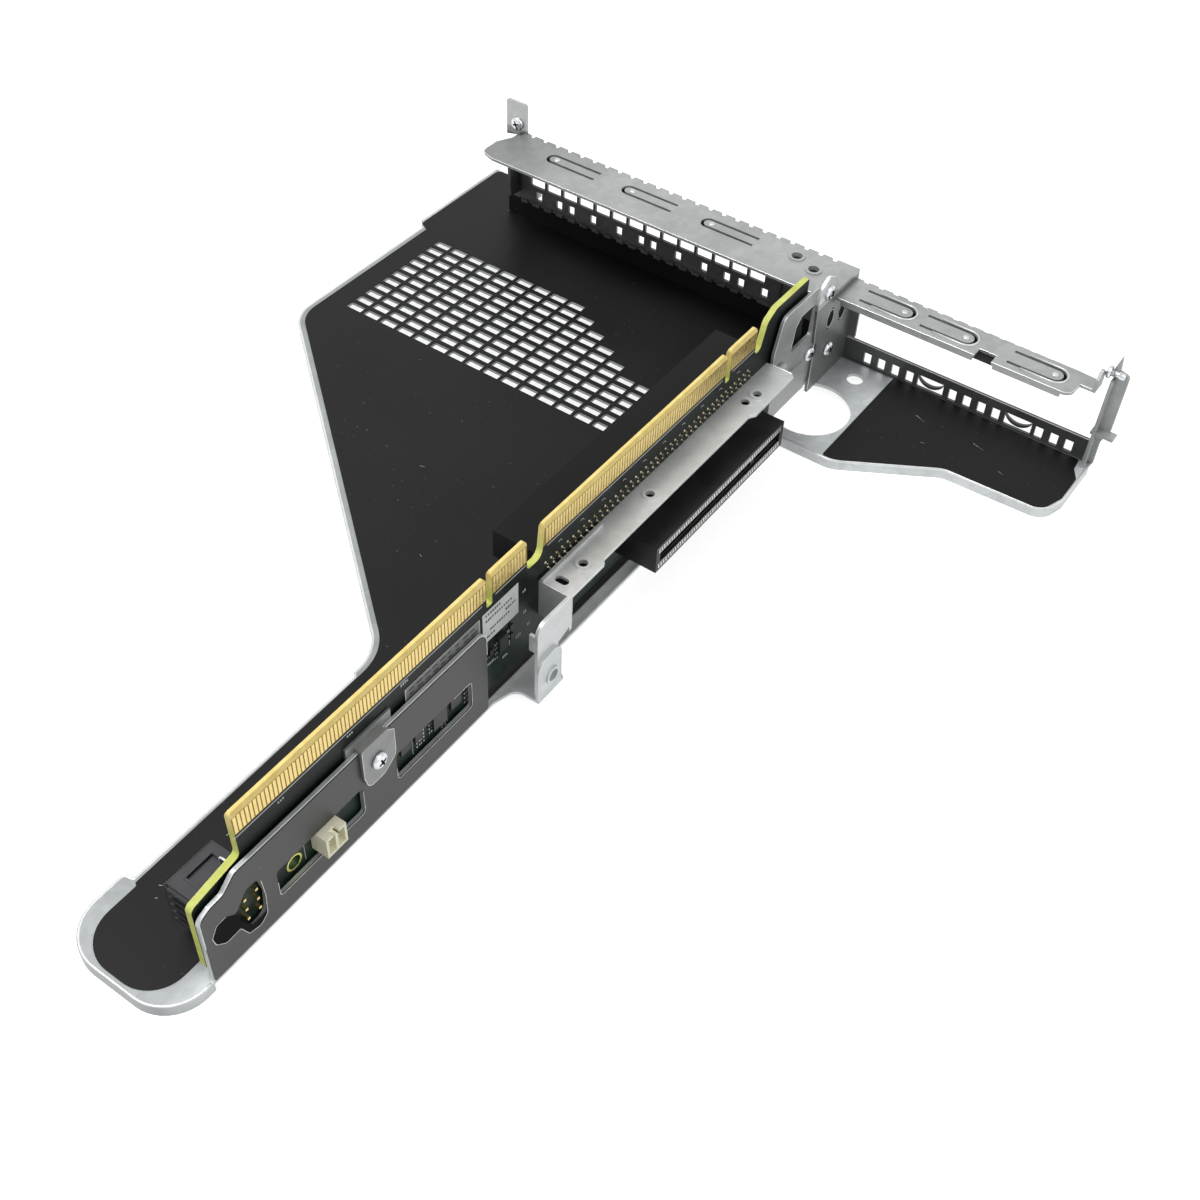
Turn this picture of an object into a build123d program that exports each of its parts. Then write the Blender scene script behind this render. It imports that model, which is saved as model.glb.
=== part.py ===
import os

from build123d import *

# Server riser assembly: an upright riser board on a folded steel base, with two
# edge connectors on top, a card slot on each side and the rear card brackets.
# Origin: front end of the first edge connector's tongue, at its tip, on the
# board's right face. +X to the right, +Y to the rear brackets, +Z up.
# All lengths are millimetres.

# Sheet and film
sheet = 0.8
film = 0.25

# Levels, measured down from the tongue tips
floor_top = -37.2
rim_height = 2.9
rest_z = floor_top - rim_height
floor_under = floor_top - sheet
film_top = floor_top + film

# Base outline
base_left = -127.4
base_left_ear = -129.8
base_ear_front = 204.3
base_ear_rear = 240.7
base_wall_rear = 225.5
arm_left = -27.3
arm_foot_left = -29.6
base_front = -23.9
right_tray_edge = 74.6
right_tray_front = 184.8

# Vent field in the floor
vent_pitch_x = 5.98
vent_pitch_y = 3.79
vent_length = 5.0
vent_width = 2.5
vent_first_x = -116.3
vent_first_y = 160.0
vent_columns = 15
vent_rows = 11
vent_rows_at_end = [10, 9, 8, 7, 6, 6]

# Round openings in the right tray
cutout_centre = (6.3, 199.5)
cutout_radius = 10.8
tray_hole_centre = (9.8, 217.7)
tray_hole_radius = 2.25

# Front wall, beside the board
wall_gap = 0.55
wall_outer = wall_gap + sheet
wall_face = wall_outer + film
wall_front = -12.6
wall_rear = 69.4
wall_top = -12.7
window_low = -31.2
window_high = -23.3
front_window = (5.9, 30.0)
rear_window = (39.9, 63.8)

# Riser board
board = 1.57
board_front = -12.4
board_rear = 200.4
board_low = -33.9
step_top_front = -14.6
step_top_rear = -12.2
notch_floor = -8.6
shoulder_top = 0.4
shoulder_front = 180.8
board_hole = (11.7, -28.2)
board_hole_radius = 1.6

# Edge connectors
connector_pitch = 91.1
tongue_long = 71.35
key_notch = 1.9
tongue_short = 11.65
contact_pitch = 1.0
contact_width = 0.7
contact_low = -5.8
contact_high = -1.3
contact_thickness = 0.06
contact_margin = 0.35
bevel_height = 1.2
bevel_depth = 0.4
tongue_end = tongue_long + key_notch + tongue_short

# Card slots
slot_height = 11.25
slot_width = 7.6
left_slot_front = 89.7
left_slot_length = 89.0
left_slot_level = -12.0
right_slot_front = 118.4
right_slot_length = 56.0
right_slot_level = -26.0
card_gap = 1.75
card_depth = 8.0
slot_wall = 1.6
key_from_front = 42.5
key_width = 1.5
right_slot_key_from_front = 42.0

# Support rail
rail_top = -15.0
rail_front = 89.4
rail_rear = 183.2
rail_narrow = 7.3
rail_wide = 8.3
rail_inner = 0.4
strap_front = 77.7
strap_rear = 89.0
strap_outer = 8.3
strap_hole = (81.9, -32.5)
strap_hole_radius = 1.5
collar = 0.4

# Rear brackets
flange_top = -9.5
flange_front = 208.5
flange_left = -110.5
flange_right = 2.2
bracket_front = base_wall_rear - sheet
scallop_pitch = 4.3
scallop_width = 1.5
spring_arm = 14.7
spring_width = 4.5
spring_gap = 0.9
spring_line = 219.0
strip_top = -12.0
strip_front = 214.0
strip_right = 67.0
strip_neck_front = 219.4
strip_neck_rear = 223.8
strip_leaf = 70.9
strip_line = 219.2
strip_width = 5.9
plate_left = 0.6
plate_face = plate_left + sheet
centre_wall_face = plate_face + sheet
centre_wall_front = 204.9
lower_wall_top = -30.6
lower_wall_left = flange_right
lower_wall_right = 72.8

# Slot cover behind the left card
cover_left = -107.5
cover_right = -19.0
cover_top = flange_top - sheet - 0.2
cover_low = -30.6
cover_lip = 1.9
cover_window_pitch = 5.75
cover_window_width = 4.9
cover_windows = 14
cover_window_first = -103.7
cover_window_low = -24.7
cover_window_high = -14.5

# Power header and its pins
header_front = -8.7
header_rear = 0.2
header_low = -33.2
header_high = -20.6
header_height = 9.9
pin_columns = (-1.9, 1.1)
pin_rows = (-29.2, -26.2, -23.2)
pin_side = 0.64
pin_tip = 1.3
pin_places = [(y, z) for y in pin_columns for z in pin_rows]
header_left = -board - header_height

# Screws
head_radius = 2.35
head_height = 1.5
shank_radius = 1.4
screw_hole = 1.5


def rounded(points):
    """Flat closed face from (x, y, corner radius) points."""
    with BuildSketch() as face:
        with BuildLine():
            FilletPolyline(*[(x, y) for x, y, r in points],
                           radius=[r for x, y, r in points], close=True)
        make_face()
    return face.sketch_local


def sagging_tongue(x, half, top, sag, width):
    """Crescent spring tongue hanging between two upper corners."""
    with BuildSketch() as face:
        with BuildLine():
            ThreePointArc((x - half, top), (x, top - sag), (x + half, top))
            ThreePointArc((x + half, top), (x, top - sag + width), (x - half, top))
        make_face()
    return face.sketch_local


def bar_face(x0, x1, y0, y1, radius=0):
    """Rectangle between two corners, with optional corner rounds."""
    return rounded([(x0, y0, radius), (x1, y0, radius), (x1, y1, radius), (x0, y1, radius)])


def save(name, part):
    part.label = name
    export_step(part, "parts/" + name + ".step")


def yz(x):
    """Plane facing +X at x, drawn in (y, z)."""
    return Plane.YZ.offset(x)


def xz(y):
    """Plane facing -Y at y, drawn in (x, z)."""
    return Plane.XZ.offset(-y)


def vent_centres():
    """Centres of the vent slots: the right-hand columns get shorter towards the rear."""
    centres = []
    full_columns = vent_columns - len(vent_rows_at_end)
    for column in range(vent_columns):
        rows = vent_rows
        if column >= full_columns:
            rows = vent_rows_at_end[column - full_columns]
        for row in range(rows):
            centres.append((vent_first_x + column * vent_pitch_x, vent_first_y + row * vent_pitch_y))
    return centres


os.makedirs("parts", exist_ok=True)

# Base tray: one folded sheet, with its rim turned down, the front wall and the
# lower rear wall turned up, and the strap's tab
arm_shoulder = 59.4
base_outline = rounded([
    (base_left_ear, base_ear_rear, 0),
    (base_left_ear, base_ear_front, 0),
    (base_left, base_ear_front - 1.7, 0),
    (base_left, 147.6, 12),
    (arm_left - 0.9, 66.8, 14),
    (arm_left - 0.9, arm_shoulder, 0),
    (arm_left, arm_shoulder - 0.8, 0),
    (arm_left, -6.0, 0),
    (arm_foot_left, -6.6, 0),
    (arm_foot_left, base_front, 10.5),
    (wall_outer, base_front, 9.5),
    (wall_outer, 71.0, 0),
    (3.0, 77.0, 3.0),
    (strap_outer + sheet, 77.0, 0),
    (strap_outer + sheet, 86.0, 0),
    (3.0, 90.0, 0),
    (3.0, right_tray_front, 0),
    (21.0, right_tray_front, 8.0),
    (45.5, 199.4, 6.0),
    (72.5, 200.4, 5.0),
    (right_tray_edge, 207.5, 3.0),
    (right_tray_edge, base_wall_rear, 0),
    (-112.5, base_wall_rear, 0),
    (-112.5, base_ear_rear, 0),
])
keyhole = rounded([
    (-9.6, -26.2, 1.5), (-8.0, -22.2, 2.0), (-4.4, -23.8, 1.0), (-1.6, -20.0, 1.2),
    (1.6, -20.0, 1.5), (2.8, -26.0, 2.5), (2.2, -32.4, 2.5), (-2.4, -32.4, 1.5), (-4.8, -27.6, 1.0),
])
wall_profile = rounded([
    (wall_front, floor_under, 0), (wall_front, -17.2, 2.0), (-9.6, -15.9, 2.0), (-6.4, -15.7, 2.0),
    (-3.0, wall_top, 2.0), (wall_rear, wall_top, 2.5), (wall_rear, floor_under, 0),
])
screw_at_clip = (34.2, -17.9)

with BuildPart() as base_tray:
    with BuildSketch(Plane.XY.offset(floor_top)):
        add(base_outline)
        with Locations(cutout_centre):
            Circle(cutout_radius, mode=Mode.SUBTRACT)
        with Locations(tray_hole_centre):
            Circle(tray_hole_radius, mode=Mode.SUBTRACT)
        with Locations(*vent_centres()):
            Rectangle(vent_length, vent_width, mode=Mode.SUBTRACT)
    extrude(amount=-sheet)
    with BuildSketch(Plane.XY.offset(rest_z)):
        add(base_outline)
        offset(base_outline, amount=-sheet, mode=Mode.SUBTRACT)
        add(bar_face(wall_outer - 2 * sheet, strap_outer + 2 * sheet, wall_front, 183.0), mode=Mode.SUBTRACT)
        add(bar_face(-110.0, right_tray_edge + sheet, bracket_front - 1.0, base_wall_rear + sheet),
            mode=Mode.SUBTRACT)
    extrude(amount=rim_height - sheet)
    # Front wall
    with BuildSketch(yz(wall_gap)):
        add(wall_profile)
        add(bar_face(*front_window, window_low, window_high, 1.0), mode=Mode.SUBTRACT)
        add(bar_face(*rear_window, window_low, window_high, 1.0), mode=Mode.SUBTRACT)
        add(keyhole, mode=Mode.SUBTRACT)
        with Locations(screw_at_clip):
            Circle(shank_radius, mode=Mode.SUBTRACT)
    extrude(amount=sheet)
    # Lower rear wall of the right tray
    with BuildSketch(xz(base_wall_rear)):
        add(bar_face(lower_wall_left, lower_wall_right, floor_under, lower_wall_top))
        low_holes = [9.3, 13.5, 17.7, 22.0, 34.7, 38.9, 43.1, 47.2, 59.4, 63.6, 67.7]
        for hole_x in low_holes:
            add(bar_face(hole_x - 1.1, hole_x + 1.1, -36.7, -33.2), mode=Mode.SUBTRACT)
        for eye_x in (28.2, 53.5):
            add(bar_face(eye_x - 3.8, eye_x + 3.8, -36.7, -32.9), mode=Mode.SUBTRACT)
            add(sagging_tongue(eye_x, 4.0, -32.8, 3.1, 0.9))
    extrude(amount=sheet)
    # Tab under the strap
    with BuildSketch(yz(strap_outer)):
        add(rounded([(77.0, floor_under, 0), (85.2, floor_under, 0), (85.2, -25.0, 2.5), (77.0, -25.4, 3.5)]))
        with Locations(strap_hole):
            Circle(strap_hole_radius, mode=Mode.SUBTRACT)
    extrude(amount=sheet)
    with BuildSketch(yz(strap_outer + sheet)):
        with Locations(strap_hole):
            Circle(strap_hole_radius + 0.7)
            Circle(strap_hole_radius, mode=Mode.SUBTRACT)
    extrude(amount=collar)
save("base_tray", base_tray.part)

# Insulating film on the left floor and arm
film_inset = 1.9
left_film_outline = rounded([
    (base_left_ear + 1.2, base_ear_rear - 0.6, 1.5),
    (base_left_ear + 1.2, base_ear_front - 1.2, 0.8),
    (base_left + film_inset, base_ear_front - 2.8, 0.5),
    (base_left + film_inset, 148.4, 10),
    (arm_left + 0.7, 67.6, 15),
    (arm_left + 1.2, -6.4, 0.5),
    (-25.4, -6.6, 0.5),
    (-25.4, base_front + 1.2, 9.0),
    (-4.0, base_front + 1.2, 8.0),
    (-4.0, -9.0, 0.5),
    (0.0, -9.0, 0.5),
    (0.0, 181.0, 0.5),
    (-10.0, 190.0, 0.5),
    (-10.0, bracket_front - 0.3, 0.5),
    (-113.0, bracket_front - 0.3, 0.5),
    (-113.0, base_ear_rear - 0.6, 2.5),
])
with BuildPart() as left_floor_film:
    with BuildSketch(Plane.XY.offset(floor_top)):
        add(left_film_outline)
        with Locations(*vent_centres()):
            Rectangle(vent_length, vent_width, mode=Mode.SUBTRACT)
    extrude(amount=film)
save("left_floor_film", left_floor_film.part)

# Insulating film on the right tray
with BuildPart() as right_floor_film:
    with BuildSketch(Plane.XY.offset(floor_top)):
        add(rounded([
            (18.0, right_tray_front + 0.7, 0.5), (21.5, right_tray_front + 0.7, 7.5), (45.2, 199.8, 6.0),
            (71.5, 200.6, 4.0), (74.0, 207.5, 3.0), (74.0, 216.5, 1.5), (72.0, 219.8, 1.0), (71.6, 223.9, 0.5),
            (18.0, bracket_front - 0.4, 0.5),
        ]))
    extrude(amount=film)
save("right_floor_film", right_floor_film.part)

# Film on the outer face of the front wall
with BuildPart() as front_wall_film:
    with BuildSketch(yz(wall_outer)):
        add(rounded([
            (wall_front + 0.3, floor_top + 0.2, 0.3), (wall_front + 0.3, -17.4, 2.0), (-9.5, -16.2, 2.0),
            (-6.3, -16.0, 2.0), (-2.9, wall_top - 0.3, 2.0), (wall_rear - 0.3, wall_top - 0.3, 2.5),
            (wall_rear - 0.3, floor_top + 0.2, 0.3),
        ]))
        add(bar_face(*front_window, window_low, window_high, 1.0), mode=Mode.SUBTRACT)
        add(bar_face(*rear_window, window_low, window_high, 1.0), mode=Mode.SUBTRACT)
        add(keyhole, mode=Mode.SUBTRACT)
        with Locations(screw_at_clip):
            Circle(screw_hole, mode=Mode.SUBTRACT)
    extrude(amount=film)
save("front_wall_film", front_wall_film.part)

# Riser board with its two edge-connector tongues
tip_round = 0.9
board_points = [(board_front, board_low, 0.5), (board_front, step_top_front, 1.5), (0.2, step_top_rear, 1.2)]
for tongue_start in (0.0, connector_pitch):
    key_start = tongue_start + tongue_long
    short_start = key_start + key_notch
    short_end = short_start + tongue_short
    board_points += [
        (tongue_start, 0, tip_round), (key_start, 0, tip_round), (key_start, notch_floor, 0.6),
        (short_start, notch_floor, 0.6), (short_start, 0, tip_round), (short_end, 0, tip_round),
        (short_end, notch_floor, 1.2),
    ]
    if tongue_start == 0.0:
        board_points += [(connector_pitch - 1.0, notch_floor, 2.2), (connector_pitch - 0.6, -5.5, 0.5)]
board_points += [
    (connector_pitch + tongue_end + 2.6, notch_floor + 0.6, 1.5), (shoulder_front, -1.5, 2.5),
    (shoulder_front + 4.0, shoulder_top, 2.5), (board_rear, shoulder_top, 0.5), (board_rear, board_low, 0.5),
]
with BuildPart() as riser_board:
    with BuildSketch(yz(-board)):
        add(rounded(board_points))
        with Locations(board_hole):
            Circle(board_hole_radius, mode=Mode.SUBTRACT)
        with Locations(*pin_places):
            Rectangle(pin_side, pin_side, mode=Mode.SUBTRACT)
    extrude(amount=board)
    # Lead-in bevels on both sides of the tongues
    for face_x, inward in ((0.0, -1), (-board, 1)):
        with BuildSketch(xz(0.0)):
            with BuildLine():
                Polyline((face_x, -bevel_height), (face_x, 0.1), (face_x + inward * bevel_depth, 0.1),
                         (face_x + inward * bevel_depth, 0.0), (face_x, -bevel_height))
            make_face()
        extrude(amount=-(connector_pitch + tongue_end), mode=Mode.SUBTRACT)
save("riser_board", riser_board.part)


def contact_starts():
    """Front edge of each contact, over both connectors."""
    starts = []
    for tongue_start in (0.0, connector_pitch):
        for length, first in ((tongue_long, 0.0), (tongue_short, tongue_long + key_notch)):
            count = int((length - contact_margin) / contact_pitch)
            for index in range(count):
                starts.append(tongue_start + first + contact_margin + index * contact_pitch)
    return starts


# Gold contacts on both faces of the tongues
with BuildPart() as edge_contacts:
    for face_x in (0.0, -board - contact_thickness):
        with BuildSketch(yz(face_x)):
            with Locations(*[(y + contact_width / 2, (contact_low + contact_high) / 2)
                             for y in contact_starts()]):
                Rectangle(contact_width, contact_high - contact_low)
        extrude(amount=contact_thickness)
save("edge_contacts", edge_contacts.part)


def card_slot(face_x, facing, front, length, level, key_offset):
    """Slot housing standing off a board face, with its card gap, key and end walls."""
    mouth = face_x + facing * slot_height
    with BuildPart() as slot:
        with BuildSketch(yz(face_x)):
            add(bar_face(front, front + length, level - slot_width / 2, level + slot_width / 2))
        extrude(amount=facing * slot_height)
        # Wide lead-in at the mouth, then the narrow gap for the card edge
        with BuildSketch(yz(mouth)):
            add(bar_face(front + slot_wall, front + length - slot_wall,
                         level - card_gap / 2, level + card_gap / 2))
        extrude(amount=-facing * card_depth, mode=Mode.SUBTRACT)
        with BuildSketch(yz(mouth)):
            add(bar_face(front + slot_wall, front + length - slot_wall,
                         level - card_gap / 2 - 1.0, level + card_gap / 2 + 1.0))
        extrude(amount=-facing * 0.7, mode=Mode.SUBTRACT)
        with BuildSketch(yz(mouth - facing * card_depth)):
            add(bar_face(front + key_offset, front + key_offset + key_width,
                         level - card_gap / 2 - 0.2, level + card_gap / 2 + 0.2))
        extrude(amount=facing * (card_depth - 0.7))
    return slot.part


save("left_slot", card_slot(-board, -1, left_slot_front, left_slot_length, left_slot_level, 73.5))
save("right_slot", card_slot(0.0, 1, right_slot_front, right_slot_length, right_slot_level,
                             right_slot_key_from_front))

# Rail over the right slot: flange on the board, shelf, end plate and strap
flange_low = right_slot_level + slot_width / 2 + 0.3
with BuildPart() as support_rail:
    with BuildSketch(Plane.XY.offset(rail_top)):
        add(rounded([
            (0.0, strap_rear, 0), (strap_outer, strap_rear, 0), (strap_outer, 101.5, 0),
            (rail_narrow, 102.8, 0), (rail_narrow, 163.0, 0), (rail_wide, 164.6, 0),
            (rail_wide, rail_rear - 1.2, 0), (rail_wide - 1.2, rail_rear, 0), (0.0, rail_rear, 0),
        ]))
        with Locations((3.9, 92.1)):
            SlotOverall(3.4, 2.0, mode=Mode.SUBTRACT)
        with Locations((4.7, 98.7), (3.9, 125.6), (3.8, 166.8), (4.7, 170.8)):
            Circle(1.1, mode=Mode.SUBTRACT)
    extrude(amount=-sheet)
    # Raised collars round the screw holes
    with BuildSketch(Plane.XY.offset(rail_top)):
        with Locations((4.7, 98.7), (3.9, 125.6), (4.7, 170.8)):
            Circle(1.8)
            Circle(1.1, mode=Mode.SUBTRACT)
    extrude(amount=collar)
    # Flange against the board
    with BuildSketch(yz(0.0)):
        add(bar_face(strap_rear, rail_rear, flange_low, rail_top - sheet / 2))
    extrude(amount=sheet)
    # End plate across the front
    with BuildSketch(xz(strap_rear + sheet)):
        add(bar_face(0.0, strap_outer, -25.4, rail_top - sheet / 2))
    extrude(amount=sheet)
    # Strap down to the tray's tab
    with BuildSketch(yz(strap_outer - sheet)):
        add(rounded([
            (strap_rear + sheet, rail_top, 0), (strap_front, rail_top, 3.0), (strap_front, floor_top, 0),
            (strap_front + 6.9, floor_top, 0), (strap_front + 7.4, -25.2, 0), (strap_rear + sheet, -23.6, 0),
        ]))
        with Locations(strap_hole):
            Circle(strap_hole_radius - 0.4, mode=Mode.SUBTRACT)
    extrude(amount=sheet)
    # Lip turned in along the strap's front edge
    with BuildSketch(xz(strap_front + sheet)):
        add(bar_face(strap_outer - sheet - 1.5, strap_outer - sheet, -23.0, rail_top - 3.2))
    extrude(amount=sheet)
    # Lip turned up along the shelf's inner edge, over its front part
    with BuildSketch(xz(strap_rear)):
        add(bar_face(rail_inner, rail_inner + sheet, rail_top, rail_top + 0.7))
    extrude(amount=-22.0)
save("support_rail", support_rail.part)

# Side plate beside the rear of the board
side_screw = (203.4, -23.8)
top_screw = (208.2, -7.0)
low_screw = (212.8, -27.4)
lap = 0.5
with BuildPart() as side_plate:
    with BuildSketch(yz(plate_left)):
        add(rounded([
            (184.0, -34.0, 0), (184.0, -12.6, 0), (187.0, -3.2, 3.0), (210.6, -3.8, 1.5),
            (210.6, -10.8, 0), (215.6, -10.8, 0), (215.6, floor_top, 0), (207.8, floor_top, 0),
            (207.0, -34.0, 0),
        ]))
        add(rounded([(192.6, -17.2, 0.8), (193.9, -10.0, 0.8), (196.2, -8.0, 1.0), (203.9, -8.0, 0.8),
                     (203.0, -17.4, 0.8)]), mode=Mode.SUBTRACT)
        with Locations(side_screw, top_screw, low_screw):
            Circle(shank_radius, mode=Mode.SUBTRACT)
    extrude(amount=sheet)
    # Lapped strip along the lower edge, with its rolled front corner
    with BuildSketch(yz(plate_face)):
        add(rounded([(184.0, -34.0, 0), (184.0, -17.4, 0), (188.7, -19.0, 0), (190.7, -23.3, 1.5),
                     (199.6, -24.1, 0), (201.4, -27.0, 0), (202.6, -34.0, 0)]))
    extrude(amount=lap)
    with BuildSketch(xz(184.2)):
        with Locations((plate_face + 0.9, -18.2)):
            Circle(1.1)
    extrude(amount=-4.2)
    # Standoff pads that reach the board
    with BuildSketch(yz(0.0)):
        with Locations((190.0, -28.5), (190.0, -14.5)):
            Circle(1.8)
    extrude(amount=plate_left)
save("side_plate", side_plate.part)

# Rear bracket: flange with spring fingers, rear frame, centre wall and post
scallops = int((flange_right - 6 - flange_left) / scallop_pitch)
flange_hole = (-13.6, 219.9)
flange_eye = (-7.1, 217.3)
with BuildPart() as rear_bracket:
    with BuildSketch(Plane.XY.offset(flange_top)):
        add(rounded([
            (plate_left, flange_front, 0), (plate_left, 210.8, 0), (flange_right, 210.8, 0),
            (flange_right, base_wall_rear, 0), (-106.0, base_wall_rear, 0),
            (flange_left, 216.4, 1.5), (flange_left, flange_front + 1.6, 2.0), (-106.0, flange_front, 0),
        ]))
        # Spring fingers: a U-shaped slot round each arm
        for slot_left in (-91.9, -66.3, -40.4):
            finger = bar_face(slot_left, slot_left + spring_arm, spring_line - spring_width / 2,
                              spring_line + spring_width / 2)
            with Locations((slot_left, spring_line)):
                Circle(spring_width / 2, mode=Mode.SUBTRACT)
            add(finger, mode=Mode.SUBTRACT)
            with Locations((slot_left, spring_line)):
                Circle(spring_width / 2 - spring_gap)
            add(bar_face(slot_left, slot_left + spring_arm, spring_line - spring_width / 2 + spring_gap,
                         spring_line + spring_width / 2 - spring_gap))
        with Locations(flange_hole, flange_eye):
            Circle(1.5, mode=Mode.SUBTRACT)
    extrude(amount=-sheet)
    with BuildSketch(Plane.XY.offset(flange_top)):
        with Locations(flange_hole, flange_eye):
            Circle(2.2)
            Circle(1.5, mode=Mode.SUBTRACT)
    extrude(amount=0.45)
    # Rear frame behind the slot cover, down to the floor
    with BuildSketch(xz(base_wall_rear)):
        add(bar_face(-108.6, flange_right, floor_top, flange_top - sheet / 2))
        add(bar_face(cover_left + 2.5, cover_right - 2.0, -29.6, flange_top - 3.4), mode=Mode.SUBTRACT)
        # Post at the left end
        add(rounded([(-113.1, flange_top - 2.0, 0), (-113.1, -0.6, 0.8), (-106.0, -0.6, 0.8),
                     (-106.0, flange_top - sheet / 2, 0)]))
        with Locations((-109.1, -7.0)):
            Circle(shank_radius, mode=Mode.SUBTRACT)
        # Upright beside the right card opening
        add(bar_face(flange_right - 0.4, 4.5, lower_wall_top + 0.6, strip_top - sheet - 0.1))
    extrude(amount=sheet)
    # Centre wall
    with BuildSketch(yz(plate_face)):
        add(rounded([
            (centre_wall_front, floor_top, 0), (centre_wall_front, -26.0, 0), (203.4, -8.6, 0),
            (204.4, -4.2, 1.5), (208.0, -2.2, 1.5), (211.9, -4.6, 1.5), (213.7, flange_top - sheet / 2, 0),
            (base_wall_rear, flange_top - sheet / 2, 0), (base_wall_rear, floor_top, 0),
        ]))
        for hole_y, hole_z in ((211.8, -17.2), (218.2, -18.2)):
            with Locations((hole_y, hole_z)):
                SlotOverall(6.2, 2.2, rotation=82, mode=Mode.SUBTRACT)
        with Locations(side_screw):
            Circle(head_radius + 0.6, mode=Mode.SUBTRACT)
        with Locations(top_screw, low_screw):
            Circle(shank_radius, mode=Mode.SUBTRACT)
    extrude(amount=sheet)
    # Scalloped rear edge
    with BuildSketch(Plane.XY.offset(flange_top + 0.1)):
        with Locations(*[(flange_left + 6.5 + n * scallop_pitch, base_wall_rear) for n in range(scallops)]):
            Rectangle(scallop_width, 2.2)
    extrude(amount=-1.6, mode=Mode.SUBTRACT)
    # Side leg at the left end
    with BuildSketch(yz(-108.6)):
        add(rounded([(218.5, flange_top - sheet / 2, 0), (219.5, -27.6, 0), (base_wall_rear, -28.4, 0),
                     (base_wall_rear, flange_top - sheet / 2, 0)]))
    extrude(amount=sheet)
save("rear_bracket", rear_bracket.part)

# Vented slot cover on the front of the rear frame
with BuildPart() as slot_cover:
    with BuildSketch(xz(bracket_front)):
        add(bar_face(cover_left, cover_right, cover_low, cover_top))
        for n in range(cover_windows):
            left = cover_window_first + n * cover_window_pitch
            add(bar_face(left, left + cover_window_width, cover_window_low, cover_window_high),
                mode=Mode.SUBTRACT)
        for square_x in (-100.8, -93.5, -89.1, -81.4, -72.3, -64.7, -60.5, -52.1, -43.4, -35.9, -31.3, -23.7):
            add(bar_face(square_x - 1.0, square_x + 1.0, -29.0, -26.2), mode=Mode.SUBTRACT)
    extrude(amount=sheet)
    with BuildSketch(Plane.XY.offset(cover_low)):
        add(bar_face(cover_left + 1.0, cover_right - 1.0, bracket_front - cover_lip, bracket_front))
        lip_teeth = int((cover_right - cover_left - 4.0) / scallop_pitch)
        with Locations(*[(cover_left + 4.0 + n * scallop_pitch, bracket_front - cover_lip)
                         for n in range(lip_teeth)]):
            Rectangle(1.9, 1.6, mode=Mode.SUBTRACT)
    extrude(amount=sheet)
save("slot_cover", slot_cover.part)

# Spring strip over the right card opening
strip_springs = (7.2, 24.5, 48.6)
with BuildPart() as spring_strip:
    with BuildSketch(Plane.XY.offset(strip_top)):
        add(rounded([
            (centre_wall_face, strip_front, 0), (strip_right - 0.4, strip_front, 2.5),
            (strip_right, strip_neck_front, 0), (strip_leaf, strip_neck_front, 0),
            (strip_leaf, strip_neck_rear, 0), (64.6, strip_neck_rear + 0.5, 0),
            (centre_wall_face, base_wall_rear - 0.5, 0),
        ]))
        for slot_left in strip_springs:
            radius = strip_width / 2
            arm_end = slot_left + 14.8 - radius
            with Locations((arm_end, strip_line)):
                Circle(radius, mode=Mode.SUBTRACT)
            add(bar_face(slot_left, arm_end, strip_line - radius, strip_line + radius), mode=Mode.SUBTRACT)
            with Locations((arm_end, strip_line)):
                Circle(radius - spring_gap)
            add(bar_face(slot_left, arm_end, strip_line - radius + spring_gap, strip_line + radius - spring_gap))
        add(bar_face(41.0, 45.7, strip_front - 1.0, 217.2), mode=Mode.SUBTRACT)
    extrude(amount=-sheet)
    # Leaf turned up at the right end, towards the end post
    with BuildSketch(yz(strip_leaf - sheet)):
        add(rounded([(strip_neck_front, strip_top - sheet, 0), (strip_neck_front, -9.4, 1.0),
                     (221.8, -6.8, 0.8), (strip_neck_rear, -9.0, 0.8), (strip_neck_rear, strip_top - sheet, 0)]))
    extrude(amount=sheet)
    # Lip turned down along the front edge
    with BuildSketch(xz(strip_front + sheet)):
        add(bar_face(centre_wall_face + 1.0, 40.6, strip_top - 1.9, strip_top - sheet / 2))
        add(bar_face(46.2, 64.0, strip_top - 1.9, strip_top - sheet / 2))
    extrude(amount=sheet)
    with BuildSketch(Plane.XY.offset(strip_top + 0.1)):
        with Locations(*[(5.0 + n * scallop_pitch, base_wall_rear - 0.2) for n in range(14)]):
            Rectangle(scallop_width, 2.0, mode=Mode.ADD)
    extrude(amount=-1.6, mode=Mode.SUBTRACT)
save("spring_strip", spring_strip.part)

# Post at the right end of the card opening: a face behind, an inner flange and a side tab
post_left = 72.8
with BuildPart() as end_post:
    with BuildSketch(xz(base_wall_rear)):
        add(rounded([
            (post_left, floor_top, 0), (post_left + 2.1, floor_top, 0), (post_left + 2.1, -30.0, 0),
            (post_left + 3.7, -25.6, 0), (post_left + 3.8, -8.6, 1.4), (post_left + 1.2, -8.0, 0),
            (post_left + 0.7, -3.6, 0), (post_left - 0.6, -8.6, 0), (post_left, -10.4, 0),
        ]))
    extrude(amount=sheet)
    with BuildSketch(yz(post_left)):
        add(rounded([(base_wall_rear, floor_top, 0), (base_wall_rear, -10.4, 0), (223.0, -10.4, 0),
                     (222.4, -26.0, 0), (221.6, floor_top, 0)]))
    extrude(amount=sheet)
    with BuildSketch(Plane.XY.offset(-26.2)):
        add(bar_face(post_left - 0.6, post_left + 5.4, 222.6, base_wall_rear))
    extrude(amount=-sheet)
save("end_post", end_post.part)

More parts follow.
